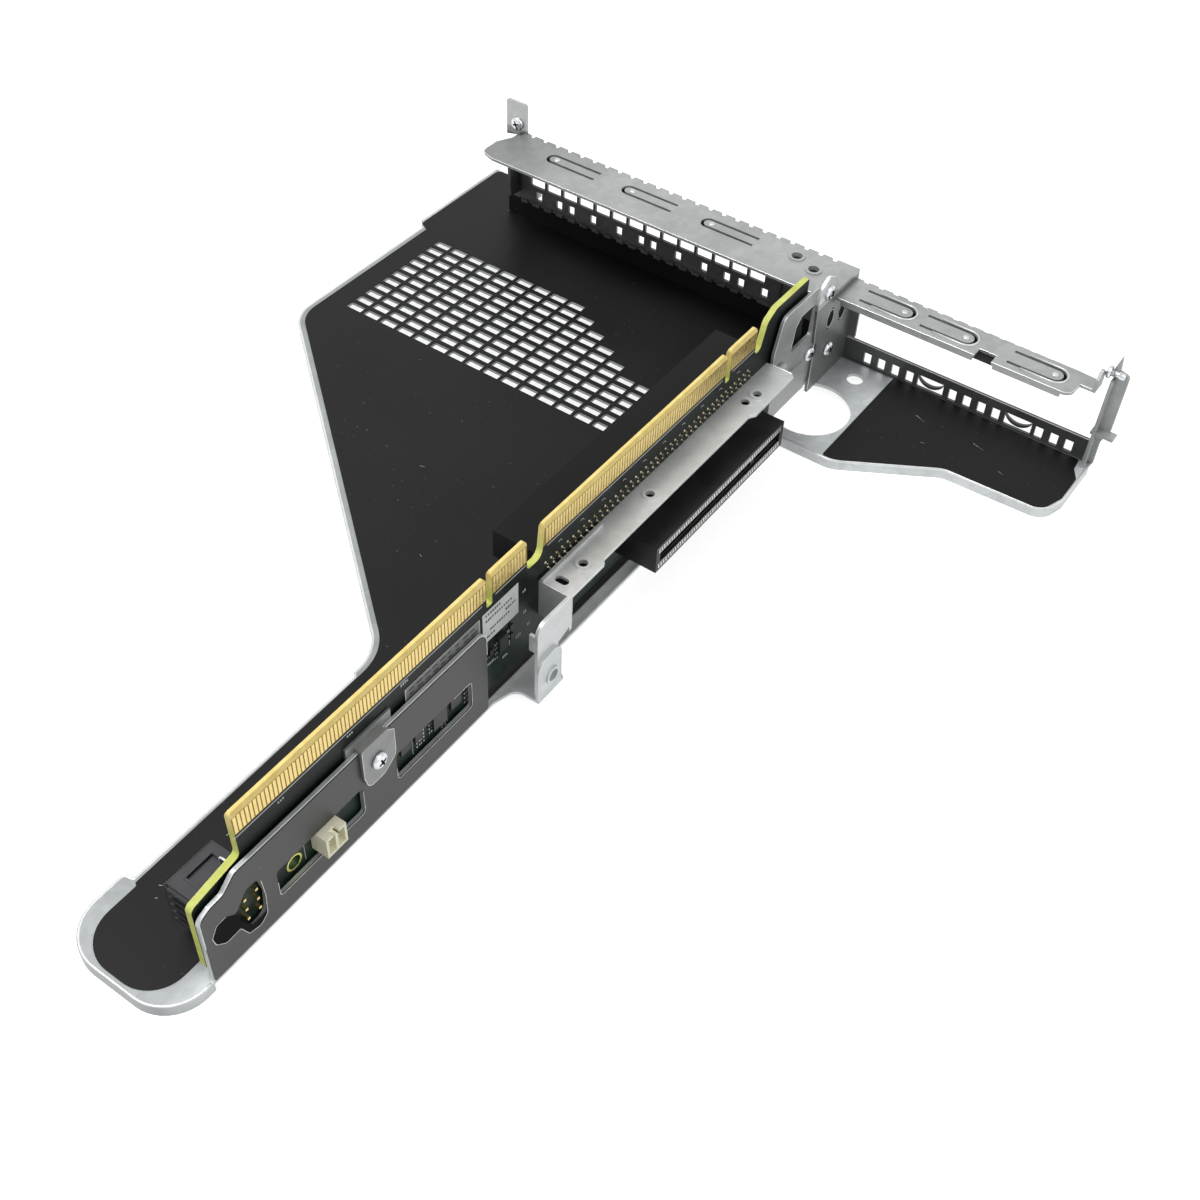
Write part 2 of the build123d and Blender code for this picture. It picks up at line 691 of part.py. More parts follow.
# Power header on the left face at the front of the board, with its pins
with BuildPart() as power_header:
    with BuildSketch(yz(-board)):
        add(bar_face(header_front, header_rear + 2.8, header_low, header_high))
    extrude(amount=-header_height)
    # Cavity open to the left
    with BuildSketch(yz(header_left)):
        add(bar_face(header_front + 2.6, header_rear + 1.9, header_low + 1.0, header_high - 1.0))
    extrude(amount=8.0, mode=Mode.SUBTRACT)
    # Latch window in the top
    with BuildSketch(Plane.XY.offset(header_high)):
        add(bar_face(header_left + 2.0, -board - 2.2, header_front + 3.0, header_rear + 0.8))
    extrude(amount=-0.6, mode=Mode.SUBTRACT)
    # Ribs down the front
    with BuildSketch(Plane.XZ.offset(-header_front)):
        for n in range(5):
            add(bar_face(header_left + 0.8, -board - 0.8, header_low + 1.4 + n * 2.4, header_low + 2.4 + n * 2.4))
    extrude(amount=0.7)
    # Holes that hold the pins
    with BuildSketch(yz(-board)):
        with Locations(*pin_places):
            Rectangle(pin_side, pin_side)
    extrude(amount=-2.5, mode=Mode.SUBTRACT)
save("power_header", power_header.part)

with BuildPart() as power_pins:
    with BuildSketch(yz(pin_tip)):
        with Locations(*pin_places):
            Rectangle(pin_side, pin_side)
    extrude(amount=header_left + 3.5 - pin_tip)
save("power_pins", power_pins.part)

# Two-pocket header on the right face, reaching out through the front window
pocket_front = 16.6
pocket_rear = 22.2
pocket_low = -29.3
pocket_high = -23.6
pocket_reach = 4.2
with BuildPart() as pocket_header:
    with BuildSketch(yz(0.0)):
        add(bar_face(pocket_front, pocket_rear, pocket_low, pocket_high))
    extrude(amount=pocket_reach)
    with BuildSketch(yz(pocket_reach)):
        middle = (pocket_front + pocket_rear) / 2
        for left, right in ((pocket_front + 0.6, middle - 0.35), (middle + 0.35, pocket_rear - 0.6)):
            add(bar_face(left, right, pocket_low + 0.7, pocket_high - 0.7))
    extrude(amount=-3.2, mode=Mode.SUBTRACT)
    # Notch in the top wall
    with BuildSketch(Plane.XY.offset(pocket_high)):
        add(bar_face(pocket_reach - 1.4, pocket_reach, middle - 0.8, middle + 0.8))
    extrude(amount=-0.7, mode=Mode.SUBTRACT)
save("pocket_header", pocket_header.part)

with BuildPart() as pocket_pins:
    with BuildSketch(yz(1.0)):
        with Locations((middle - 1.3, -26.4), (middle + 1.3, -26.4)):
            Rectangle(0.5, 0.5)
    extrude(amount=2.4)
save("pocket_pins", pocket_pins.part)

# Clip: plate on the board, bridge over the wall's top edge, tab down its face
clip_plate = 0.5
clip_front = 30.1
clip_rear = 39.2
clip_bridge = wall_top + 0.2
tab_face = wall_face + 0.05 + sheet
with BuildPart() as board_clip:
    with BuildSketch(yz(0.0)):
        add(bar_face(27.8, 40.7, -15.6, -10.2))
    extrude(amount=clip_plate)
    with BuildSketch(Plane.XY.offset(clip_bridge)):
        add(bar_face(0.0, tab_face, clip_front, clip_rear - 2.0))
    extrude(amount=sheet)
    with BuildSketch(yz(tab_face - sheet)):
        add(rounded([(clip_front, clip_bridge + sheet, 0), (clip_rear - 2.0, clip_bridge + sheet, 0),
                     (clip_rear, -13.4, 0), (clip_rear, -21.0, 2.5), (35.6, -23.6, 2.2), (31.0, -23.6, 2.0),
                     (clip_front, -19.8, 0)]))
        with Locations(screw_at_clip):
            Circle(screw_hole, mode=Mode.SUBTRACT)
    extrude(amount=sheet)
save("board_clip", board_clip.part)

# Blank labels on the right face of the board
label_thickness = 0.1
with BuildPart() as board_labels:
    with BuildSketch(yz(0.0)):
        add(bar_face(69.8, 81.8, -18.6, -9.6))
        add(bar_face(45.6, 68.9, -14.4, -9.9))
    extrude(amount=label_thickness)
save("board_labels", board_labels.part)

# Chips and small parts on the right face, seen in the rear window and by the label
chips = [
    (42.6, 45.6, -27.6, -25.0, 0.45), (47.0, 49.4, -27.8, -24.6, 0.45), (52.2, 56.4, -28.6, -24.0, 1.0),
    (58.4, 61.8, -28.4, -25.0, 0.45), (74.4, 77.0, -24.6, -20.4, 0.9), (71.6, 72.8, -23.4, -21.8, 0.45),
    (78.6, 79.6, -21.6, -20.0, 0.45), (78.6, 79.6, -24.4, -22.8, 0.45),
]
with BuildPart() as board_chips:
    for front, rear, low, high, thickness in chips:
        with BuildSketch(yz(0.0)):
            add(bar_face(front, rear, low, high))
        extrude(amount=thickness)
save("board_chips", board_chips.part)


def screw(plane, shank_length):
    """Pan-head screw: plane at the seat of its head, normal out of the head."""
    with BuildPart() as body:
        with BuildSketch(plane):
            Circle(head_radius)
        extrude(amount=head_height, taper=14)
        with BuildSketch(plane):
            Circle(shank_radius)
        extrude(amount=-shank_length)
    return body.part


def at_yz(x, y, z):
    return Plane(origin=(x, y, z), x_dir=(0, 1, 0), z_dir=(1, 0, 0))


def at_xz(x, y, z):
    return Plane(origin=(x, y, z), x_dir=(1, 0, 0), z_dir=(0, -1, 0))


screws = Compound(children=[
    screw(at_yz(tab_face, *screw_at_clip), tab_face - wall_gap),
    screw(at_xz(-109.1, bracket_front, -7.0), sheet),
    screw(at_yz(plate_face, *side_screw), sheet),
    screw(at_yz(centre_wall_face, *top_screw), 2 * sheet),
    screw(at_yz(centre_wall_face, *low_screw), 2 * sheet),
])
save("pan_screws", screws)
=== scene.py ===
import math
import random

import bmesh
import bpy
from mathutils import Matrix, Vector


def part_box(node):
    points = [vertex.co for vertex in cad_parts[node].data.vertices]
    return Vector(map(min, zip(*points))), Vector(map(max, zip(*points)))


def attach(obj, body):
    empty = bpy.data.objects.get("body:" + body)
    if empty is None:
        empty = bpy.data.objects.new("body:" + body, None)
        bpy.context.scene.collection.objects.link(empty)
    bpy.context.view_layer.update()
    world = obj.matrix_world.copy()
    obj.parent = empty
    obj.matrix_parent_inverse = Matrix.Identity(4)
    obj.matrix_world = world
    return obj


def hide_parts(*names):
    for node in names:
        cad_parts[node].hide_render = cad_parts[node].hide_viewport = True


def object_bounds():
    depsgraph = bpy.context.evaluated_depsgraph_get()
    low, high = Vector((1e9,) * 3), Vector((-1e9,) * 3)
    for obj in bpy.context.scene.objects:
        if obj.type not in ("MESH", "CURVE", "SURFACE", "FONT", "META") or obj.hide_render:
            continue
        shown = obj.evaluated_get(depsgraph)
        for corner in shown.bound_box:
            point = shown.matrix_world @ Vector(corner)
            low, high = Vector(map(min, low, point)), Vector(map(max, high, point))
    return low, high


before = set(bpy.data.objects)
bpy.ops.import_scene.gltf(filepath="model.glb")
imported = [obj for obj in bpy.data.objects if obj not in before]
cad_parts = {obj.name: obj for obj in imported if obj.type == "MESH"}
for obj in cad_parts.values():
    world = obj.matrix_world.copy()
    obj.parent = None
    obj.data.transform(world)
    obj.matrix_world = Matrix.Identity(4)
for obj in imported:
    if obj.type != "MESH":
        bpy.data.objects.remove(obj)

# Server riser assembly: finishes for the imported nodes, and the fine parts that sit on them.
# Lengths are in millimetres unless a name says otherwise, and MM turns them into metres.
# X runs to the right, Y to the rear along the board, Z up.
MM = 0.001
cad_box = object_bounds()
rng = random.Random(12)


def low(node):
    """Lowest corner of a node in millimetres."""
    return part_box(node)[0] / MM


def high(node):
    """Highest corner of a node in millimetres."""
    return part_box(node)[1] / MM


# Directions
rightward = (1, 0, 0)
leftward = (-1, 0, 0)
rearward = (0, 1, 0)
frontward = (0, -1, 0)
upward = (0, 0, 1)

# Places taken from the nodes
board_left = low("riser_board").x
board_right = high("riser_board").x
left_slot_level = (low("left_slot").z + high("left_slot").z) / 2
right_slot_level = (low("right_slot").z + high("right_slot").z) / 2
floor_level = low("left_floor_film").z
film_level = high("left_floor_film").z
wall_face = high("front_wall_film").x
clip_face = high("board_clip").x
label_face = high("board_labels").x

# Levels and faces of the sheet metal that the nodes' boxes don't give
flange_top = -9.5
strip_top = -12.0
rail_top = -15.0
rail_underside = -15.8
side_plate_face = 1.4
centre_wall_face = 2.2
strap_face = 8.3
tab_face = 9.1
rear_wall_face = 224.7
rear_wall_top = -30.6
board_hole = (11.7, -28.2)
centre_wall_holes = ((211.8, -17.2), (218.2, -18.2))

# Springs cut in the flange and in the strip, each with its round end, dimple and pointing way
springs = [dict(end=x, dimple=x + 1.0, arm=14.7, line=219.0, radius=2.25, way=-1, top=flange_top)
           for x in (-91.9, -66.3, -40.4)]
springs += [dict(end=x + 11.85, dimple=x + 11.85, arm=11.85, line=219.2, radius=2.95, way=1, top=strip_top)
            for x in (7.2, 24.5, 48.6)]

# Camera, from the photograph's vanishing lines
camera_place = Vector((135.73, -94.19, 221.32)) * MM
camera_right = Vector((0.81578, 0.57734, 0.03423))
camera_up = Vector((-0.43968, 0.58065, 0.68521))
camera_back = Vector((0.37573, -0.57404, 0.72753))
camera_data = bpy.data.cameras.new("camera")
camera_data.lens = 46.286
camera_data.sensor_width = 36.0
camera_data.clip_start = 0.01
camera_data.clip_end = 20.0
camera = bpy.data.objects.new("camera", camera_data)
bpy.context.scene.collection.objects.link(camera)
camera.matrix_world = Matrix.Translation(camera_place) @ Matrix(
    (camera_right, camera_up, camera_back)).transposed().to_4x4()
bpy.context.scene.camera = camera
bpy.context.scene.view_settings.view_transform = "Standard"


# Node helpers
def new_material(name):
    """A node material with its Principled shader."""
    mat = bpy.data.materials.new(name)
    mat.use_nodes = True
    shader = mat.node_tree.nodes["Principled BSDF"]
    return mat, mat.node_tree, shader


def object_coords(tree, stretch=(1, 1, 1)):
    """Object coordinates, stretched along the axes."""
    coords = tree.nodes.new("ShaderNodeTexCoord")
    mapping = tree.nodes.new("ShaderNodeMapping")
    mapping.inputs["Scale"].default_value = stretch
    tree.links.new(coords.outputs["Object"], mapping.inputs["Vector"])
    return mapping.outputs["Vector"]


def split_place(tree):
    """Object coordinates in metres, axis by axis."""
    coords = tree.nodes.new("ShaderNodeTexCoord")
    place = tree.nodes.new("ShaderNodeSeparateXYZ")
    tree.links.new(coords.outputs["Object"], place.inputs["Vector"])
    return place.outputs


def noise(tree, scale, detail=3.0, stretch=(1, 1, 1)):
    """Noise value from 0 to 1; scale counts per metre."""
    node = tree.nodes.new("ShaderNodeTexNoise")
    node.inputs["Scale"].default_value = scale
    node.inputs["Detail"].default_value = detail
    node.inputs["Roughness"].default_value = 0.5
    tree.links.new(object_coords(tree, stretch), node.inputs["Vector"])
    return node.outputs["Fac"]


def ramp(tree, value, stops):
    """Colour ramp over a value; stops are (place, colour)."""
    node = tree.nodes.new("ShaderNodeValToRGB")
    while len(node.color_ramp.elements) < len(stops):
        node.color_ramp.elements.new(0.5)
    for element, (place, colour) in zip(node.color_ramp.elements, stops):
        element.position = place
        element.color = (*colour, 1)
    tree.links.new(value, node.inputs["Fac"])
    return node.outputs["Color"]


def grey(value):
    """Neutral colour."""
    return (value, value, value)


def span(tree, value, from_low, from_high, to_low, to_high):
    """Map a value's range onto another, clamped."""
    node = tree.nodes.new("ShaderNodeMapRange")
    node.inputs["From Min"].default_value = from_low
    node.inputs["From Max"].default_value = from_high
    node.inputs["To Min"].default_value = to_low
    node.inputs["To Max"].default_value = to_high
    tree.links.new(value, node.inputs["Value"])
    return node.outputs["Result"]


def maths(tree, operation, a, b):
    """Math node on two values or sockets."""
    node = tree.nodes.new("ShaderNodeMath")
    node.operation = operation
    for index, value in enumerate((a, b)):
        if isinstance(value, (int, float)):
            node.inputs[index].default_value = value
        else:
            tree.links.new(value, node.inputs[index])
    return node.outputs["Value"]


def mix(tree, factor, a, b, blend="MIX"):
    """Mix two colours by a factor value or socket."""
    node = tree.nodes.new("ShaderNodeMix")
    node.data_type = "RGBA"
    node.blend_type = blend
    if isinstance(factor, (int, float)):
        node.inputs["Factor"].default_value = factor
    else:
        tree.links.new(factor, node.inputs["Factor"])
    # Sockets 6 and 7 are the node's two colours, and output 2 is the mixed one
    for socket, value in ((node.inputs[6], a), (node.inputs[7], b)):
        if isinstance(value, tuple):
            socket.default_value = (*value, 1)
        else:
            tree.links.new(value, socket)
    return node.outputs[2]


def bump(tree, shader, height, depth, strength):
    """Bump from a height value; depth is in millimetres."""
    node = tree.nodes.new("ShaderNodeBump")
    node.inputs["Strength"].default_value = strength
    node.inputs["Distance"].default_value = depth * MM
    tree.links.new(height, node.inputs["Height"])
    tree.links.new(node.outputs["Normal"], shader.inputs["Normal"])


# Zinc-coated steel: soft mottling, fine spangle and faint drawn lines
def make_steel(name, pale, dark, rough=(0.34, 0.5), painted_light_zones=()):
    """Each of the painted light zones is a list of (axis, start, end, tone before, tone after) in
    millimetres, of which the highest tone counts; the zones' tones are multiplied into the colour as painted
    light and shade."""
    mat, tree, shader = new_material(name)
    blotch = noise(tree, scale=90, detail=4, stretch=(1, 1, 1.6))
    spangle = tree.nodes.new("ShaderNodeTexVoronoi")
    spangle.inputs["Scale"].default_value = 520
    tree.links.new(object_coords(tree), spangle.inputs["Vector"])
    cells = span(tree, spangle.outputs["Color"], 0.0, 1.0, 0.0, 1.0)
    blotch_share = 0.75
    blend = maths(tree, "ADD", maths(tree, "MULTIPLY", blotch, blotch_share),
                  maths(tree, "MULTIPLY", cells, 1 - blotch_share))
    colour = ramp(tree, blend, [(0.25, dark), (0.75, pale)])
    # Painted light and shade: the zones brighten or darken the colour by place
    if painted_light_zones:
        place = split_place(tree)
        tone = 1.0
        for light_zone in painted_light_zones:
            highest = 0.0
            for axis, start, end, before, after in light_zone:
                part = span(tree, place[axis], start * MM, end * MM, before, after)
                highest = maths(tree, "MAXIMUM", part, highest)
            tone = maths(tree, "MULTIPLY", highest, tone)
        colour = mix(tree, 1.0, colour, tone, "MULTIPLY")
    tree.links.new(colour, shader.inputs["Base Color"])
    shader.inputs["Metallic"].default_value = 0.4
    tree.links.new(span(tree, blend, 0.2, 0.8, *rough), shader.inputs["Roughness"])
    bump(tree, shader, noise(tree, scale=2600, detail=2, stretch=(1, 0.12, 1)), depth=0.02, strength=0.25)
    return mat


steel = make_steel("galvanised steel", pale=(0.44, 0.455, 0.45), dark=(0.31, 0.325, 0.325))
steel_bright = make_steel("bright strip steel", pale=(0.70, 0.715, 0.72), dark=(0.55, 0.57, 0.575),
                          rough=(0.3, 0.45))
# Bright steel for painted highlights on edges and folds
highlight_steel = make_steel("painted edge highlight", pale=(0.86, 0.87, 0.87), dark=(0.70, 0.71, 0.71), rough=(0.25, 0.4))
# A darker copy of the steel for the slot cover: painted shade under the flange
steel_painted_shade = make_steel("zinc steel with painted shade", pale=(0.17, 0.175, 0.172), dark=(0.11, 0.115, 0.112))
steel_clip = make_steel("clip steel", pale=(0.31, 0.32, 0.318), dark=(0.21, 0.22, 0.218))
# The tray is brighter on its right side (painted light) and darker on its rear wall (painted shade)
steel_tray_painted_light = make_steel("tray steel with painted light", pale=(0.41, 0.43, 0.435), dark=(0.29, 0.305, 0.31), painted_light_zones=[
    [("X", -3.0, 3.0, 1.0, 1.75)],
    [("Y", 223.6, 224.6, 1.0, 0.19), ("X", -109.0, -107.0, 1.0, 0.19)]])
# The bracket is darker towards its left end, has painted shade on its walls under the flange, and painted
# light on its post
steel_bracket_painted_light = make_steel("bracket steel with painted light", pale=(0.46, 0.475, 0.47), dark=(0.33, 0.345, 0.345), painted_light_zones=[
    [("X", -108.0, -72.0, 0.66, 1.0)],
    [("Z", -10.7, -10.3, 0.42, 1.0)],
    [("Z", -8.9, -8.5, 1.0, 1.9)]])


# Black film: a fine moulded grain, sheen patches and a little dust
def make_film(name, level, specular):
    mat, tree, shader = new_material(name)
    blotch = noise(tree, scale=35)
    dust = noise(tree, scale=900, detail=2)
    body = ramp(tree, blotch, [(0.3, grey(level * 0.7)), (0.7, grey(level * 1.3))])
    specks = span(tree, dust, 0.735, 0.76, 0.0, 0.35)
    dust_colour = (0.16, 0.16, 0.155)
    tree.links.new(mix(tree, specks, body, dust_colour), shader.inputs["Base Color"])
    tree.links.new(span(tree, blotch, 0.25, 0.75, 0.42, 0.56), shader.inputs["Roughness"])
    shader.inputs["Specular IOR Level"].default_value = specular
    bump(tree, shader, noise(tree, scale=2300), depth=0.05, strength=0.5)
    return mat


film = make_film("black film", level=0.0065, specular=0.19)
# The same black film made several times lighter on the front wall: painted light on the wall's face
wall_film_painted_light = make_film("black film with painted light", level=0.042, specular=0.5)


# Board: dark mask on its faces, bare yellow-green laminate on its edges and ochre tongues
def make_board():
    mat, tree, shader = new_material("board laminate")
    tongue_foot = -6.1
    tongues_rear = 176.2
    geometry = tree.nodes.new("ShaderNodeNewGeometry")
    normal = tree.nodes.new("ShaderNodeSeparateXYZ")
    tree.links.new(geometry.outputs["Normal"], normal.inputs["Vector"])
    place = split_place(tree)
    sideways = maths(tree, "ABSOLUTE", normal.outputs["X"], 0)
    is_face = span(tree, sideways, 0.96, 0.98, 0, 1)
    # Copper fills show through the mask as paler green on the lower part of the board
    low_board = span(tree, place["Z"], -15.0 * MM, -24.0 * MM, 0, 1)
    fill = span(tree, noise(tree, scale=130, detail=2), 0.42, 0.5, 0.35, 1.0)
    fill = maths(tree, "MULTIPLY", fill, low_board)
    mask = ramp(tree, fill, [(0.0, (0.003, 0.006, 0.0045)), (1.0, (0.012, 0.026, 0.018))])
    # The tongues are ochre between their contacts
    ahead = maths(tree, "LESS_THAN", place["Y"], tongues_rear * MM)
    tongue = maths(tree, "MULTIPLY", maths(tree, "GREATER_THAN", place["Z"], tongue_foot * MM), ahead)
    ochre = ramp(tree, noise(tree, scale=300), [(0.3, (0.30, 0.20, 0.045)), (0.7, (0.40, 0.28, 0.075))])
    face = mix(tree, tongue, mask, ochre)
    # The edges turn from yellow-green to gold towards the tips
    core_colours = [(0.3, (0.52, 0.56, 0.13)), (0.7, (0.66, 0.69, 0.22))]
    core = ramp(tree, noise(tree, scale=400, detail=4), core_colours)
    tip_colours = [(0.3, (0.78, 0.60, 0.20)), (0.7, (0.90, 0.74, 0.30))]
    tip = ramp(tree, noise(tree, scale=500, detail=4), tip_colours)
    near_tip = maths(tree, "MULTIPLY", span(tree, place["Z"], -6.5 * MM, -2.5 * MM, 0, 1), ahead)
    edge = mix(tree, near_tip, core, tip)
    tree.links.new(mix(tree, is_face, edge, face), shader.inputs["Base Color"])
    tree.links.new(mix(tree, is_face, grey(0.6), grey(0.38)), shader.inputs["Roughness"])
    shader.inputs["Specular IOR Level"].default_value = 0.12
    bump(tree, shader, noise(tree, scale=1800), depth=0.03, strength=0.3)
    return mat


board_finish = make_board()


def make_metal(name, pale, dark, rough, scale=700):
    """Plated metal with a little colour and gloss variation."""
    mat, tree, shader = new_material(name)
    blotch = noise(tree, scale)
    tree.links.new(ramp(tree, blotch, [(0.3, dark), (0.7, pale)]), shader.inputs["Base Color"])
    tree.links.new(span(tree, blotch, 0.3, 0.7, *rough), shader.inputs["Roughness"])
    shader.inputs["Metallic"].default_value = 1.0
    bump(tree, shader, noise(tree, scale * 4, detail=2), depth=0.02, strength=0.3)
    return mat


gold = make_metal("gold contacts", pale=(0.80, 0.64, 0.27), dark=(0.68, 0.52, 0.19), rough=(0.24, 0.4))
solder = make_metal("solder", pale=(0.50, 0.46, 0.34), dark=(0.16, 0.13, 0.08), rough=(0.2, 0.36))
zinc = make_metal("screw zinc", pale=(0.80, 0.82, 0.84), dark=(0.55, 0.57, 0.60), rough=(0.18, 0.34),
                  scale=300)
tin = make_metal("bright contact", pale=(0.60, 0.60, 0.58), dark=(0.38, 0.38, 0.37), rough=(0.3, 0.5))
spring_metal = make_metal("slot spring", pale=(0.80, 0.80, 0.78), dark=(0.56, 0.56, 0.54), rough=(0.35, 0.5))
hole_plating = make_metal("plated ring", pale=(0.72, 0.70, 0.22), dark=(0.52, 0.50, 0.12), rough=(0.3, 0.5))


def make_plastic(name, pale, dark, rough, specular, grain=0.01):
    """Moulded plastic, paper or print with fine grain and faint flow marks."""
    mat, tree, shader = new_material(name)
    blotch = noise(tree, scale=160, detail=4)
    tree.links.new(ramp(tree, blotch, [(0.3, dark), (0.7, pale)]), shader.inputs["Base Color"])
    tree.links.new(span(tree, blotch, 0.3, 0.7, *rough), shader.inputs["Roughness"])
    shader.inputs["Specular IOR Level"].default_value = specular
    bump(tree, shader, noise(tree, scale=1900), depth=grain, strength=0.5)
    return mat


black_plastic = make_plastic("black plastic", grey(0.011), grey(0.006), (0.36, 0.48),
                             specular=0.26, grain=0.03)
slot_plastic = make_plastic("matt black plastic", grey(0.007), grey(0.004), (0.5, 0.6),
                            specular=0.14, grain=0.03)
header_plastic = make_plastic("header plastic", (0.026, 0.025, 0.030), (0.013, 0.013, 0.016), (0.3, 0.42),
                              specular=0.55, grain=0.03)
# Lighter plastic for painted highlights along the power header's edges
header_edge_highlight = make_plastic("painted header edge highlight", (0.075, 0.074, 0.08), (0.04, 0.04, 0.045), (0.3, 0.4),
                           specular=0.5)
cream_plastic = make_plastic("cream plastic", (0.95, 0.93, 0.72), (0.85, 0.82, 0.60), (0.4, 0.55),
                             specular=0.4, grain=0.02)
chip_black = make_plastic("chip epoxy", grey(0.02), grey(0.011), (0.38, 0.52), specular=0.4, grain=0.02)
paper = make_plastic("label paper", (0.70, 0.72, 0.71), (0.58, 0.60, 0.59), (0.55, 0.7), specular=0.3)
silk = make_plastic("silk print", (0.62, 0.64, 0.62), (0.45, 0.47, 0.45), (0.5, 0.65), specular=0.3)
silver_foil = make_plastic("silver label", (0.22, 0.225, 0.22), (0.14, 0.145, 0.14), (0.4, 0.55),
                           specular=0.4)
grey_ink = make_plastic("grey ink", grey(0.05), grey(0.03), (0.5, 0.6), specular=0.2)
# Black for painted shade in holes, gaps and recesses
painted_shade_black = make_plastic("painted shade black", grey(0.003), grey(0.0015), (0.6, 0.7), specular=0.05)
mask_green = make_plastic("mask green", (0.03, 0.07, 0.02), (0.018, 0.045, 0.012), (0.4, 0.5), specular=0.2)

finishes = {
    "base_tray": steel_tray_painted_light, "rear_bracket": steel_bracket_painted_light, "slot_cover": steel_painted_shade, "side_plate": steel,
    "support_rail": steel_bright, "spring_strip": steel, "end_post": steel, "board_clip": steel_clip,
    "left_floor_film": film, "right_floor_film": film, "front_wall_film": wall_film_painted_light,
    "riser_board": board_finish, "edge_contacts": gold, "power_pins": gold, "pocket_pins": tin,
    "left_slot": slot_plastic, "right_slot": black_plastic, "power_header": header_plastic,
    "pocket_header": cream_plastic, "board_labels": paper, "board_chips": chip_black, "pan_screws": zinc,
}
for name, finish in finishes.items():
    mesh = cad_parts[name].data
    mesh.materials.clear()
    mesh.materials.append(finish)


# Mesh helpers
def new_piece(name, bm, finish, smooth=False):
    """Turn a bmesh in millimetres into a piece that rides on the assembly."""
    mesh = bpy.data.meshes.new(name)
    bmesh.ops.recalc_face_normals(bm, faces=bm.faces)
    bm.to_mesh(mesh)
    bm.free()
    mesh.transform(Matrix.Scale(MM, 4))
    mesh.materials.append(finish)
    for polygon in mesh.polygons:
        polygon.use_smooth = smooth
    piece = bpy.data.objects.new(name, mesh)
    bpy.context.scene.collection.objects.link(piece)
    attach(piece, "root")
    return piece


def add_box(bm, x, y, z, bevel=0.0):
    """Box between pairs of bounds, with an optional bevel on its edges."""
    corners = [bm.verts.new((a, b, c)) for a in x for b in y for c in z]
    faces = [(0, 1, 3, 2), (4, 6, 7, 5), (0, 4, 5, 1), (2, 3, 7, 6), (0, 2, 6, 4), (1, 5, 7, 3)]
    made = [bm.faces.new([corners[i] for i in face]) for face in faces]
    if bevel:
        edges = list({edge for face in made for edge in face.edges})
        bmesh.ops.bevel(bm, geom=edges, offset=bevel, segments=1, affect="EDGES")


def axis_matrix(centre, axis):
    """Frame at a centre whose Z runs along an axis."""
    turn = Vector(upward).rotation_difference(Vector(axis)).to_matrix().to_4x4()
    return Matrix.Translation(Vector(centre)) @ turn


def add_profile(bm, centre, axis, profile, segments=16):
    """Turned form: profile is (radius, height) pairs from its base to its tip."""
    place = axis_matrix(centre, axis)
    rings = []
    for radius, height in profile:
        if radius == 0:
            rings.append([bm.verts.new(place @ Vector((0, 0, height)))])
            continue
        ring = []
        for step in range(segments):
            angle = 2 * math.pi * step / segments
            spot = Vector((radius * math.cos(angle), radius * math.sin(angle), height))
            ring.append(bm.verts.new(place @ spot))
        rings.append(ring)
    for first, second in zip(rings, rings[1:]):
        for step in range(segments):
            after = (step + 1) % segments
            if len(first) == 1:
                bm.faces.new((first[0], second[step], second[after]))
            elif len(second) == 1:
                bm.faces.new((first[step], first[after], second[0]))
            else:
                bm.faces.new((first[step], first[after], second[after], second[step]))
    for ring in (rings[0], rings[-1]):
        if len(ring) > 1 and profile[0] != profile[-1]:
            bm.faces.new(ring)


def rounded_run(corners, closed=False, steps=6):
    """Points of a run whose (a, b, radius) corners are rounded."""
    points = []
    count = len(corners)
    for index, (a, b, radius) in enumerate(corners):
        here = Vector((a, b))
        if radius == 0 or (not closed and index in (0, count - 1)):
            points.append(here)
            continue
        before = (Vector(corners[index - 1][:2]) - here).normalized()
        after = (Vector(corners[(index + 1) % count][:2]) - here).normalized()
        half = before.angle(after) / 2
        reach = radius / math.tan(half)
        centre = here + (before + after).normalized() * (radius / math.sin(half))
        start, end = here + before * reach - centre, here + after * reach - centre
        turn = start.angle_signed(end)
        for step in range(steps + 1):
            angle = -turn * step / steps
            points.append(centre + Vector((start.x * math.cos(angle) - start.y * math.sin(angle),
                                           start.x * math.sin(angle) + start.y * math.cos(angle))))
    return points


def arc_points(centre, reach, degrees):
    """Points round a centre at the given angles; reach is one radius, or one along each axis."""
    across, along = reach if isinstance(reach, tuple) else (reach, reach)
    angles = [math.radians(angle) for angle in degrees]
    return [(centre[0] + across * math.cos(a), centre[1] + along * math.sin(a)) for a in angles]


def full_turn(count):
    """Angles in degrees of so many even steps round a circle."""
    return [360 * step / count for step in range(count)]


def add_tube(bm, points, normal, radius, closed=False, segments=6):
    """Round wire along points that lie in a plane with the given normal."""
    normal = Vector(normal).normalized()
    points = [Vector(point) for point in points]
    count = len(points)
    rings = []
    for index, point in enumerate(points):
        before = points[index - 1] if closed or index else point
        after = points[(index + 1) % count] if closed or index < count - 1 else point
        side = (after - before).normalized().cross(normal)
        ring = []
        for step in range(segments):
            angle = 2 * math.pi * step / segments
            ring.append(bm.verts.new(point + radius * (math.cos(angle) * normal + math.sin(angle) * side)))
        rings.append(ring)
    pairs = list(zip(rings, rings[1:])) + ([(rings[-1], rings[0])] if closed else [])
    for first, second in pairs:
        for step in range(segments):
            after = (step + 1) % segments
            bm.faces.new((first[step], first[after], second[after], second[step]))
    if not closed:
        bm.faces.new(rings[0])
        bm.faces.new(rings[-1])


def add_plate(bm, outline, depth, axis):
    """Thin plate from an outline across the "x" or the "z" axis, between two depths."""
    layers = []
    for level in depth:
        corners = [(level, a, b) if axis == "x" else (a, b, level) for a, b in outline]
        layers.append([bm.verts.new(corner) for corner in corners])
    bm.faces.new(layers[0])
    bm.faces.new(layers[1])
    count = len(outline)
    for index in range(count):
        after = (index + 1) % count
        bm.faces.new((layers[0][index], layers[0][after], layers[1][after], layers[1][index]))


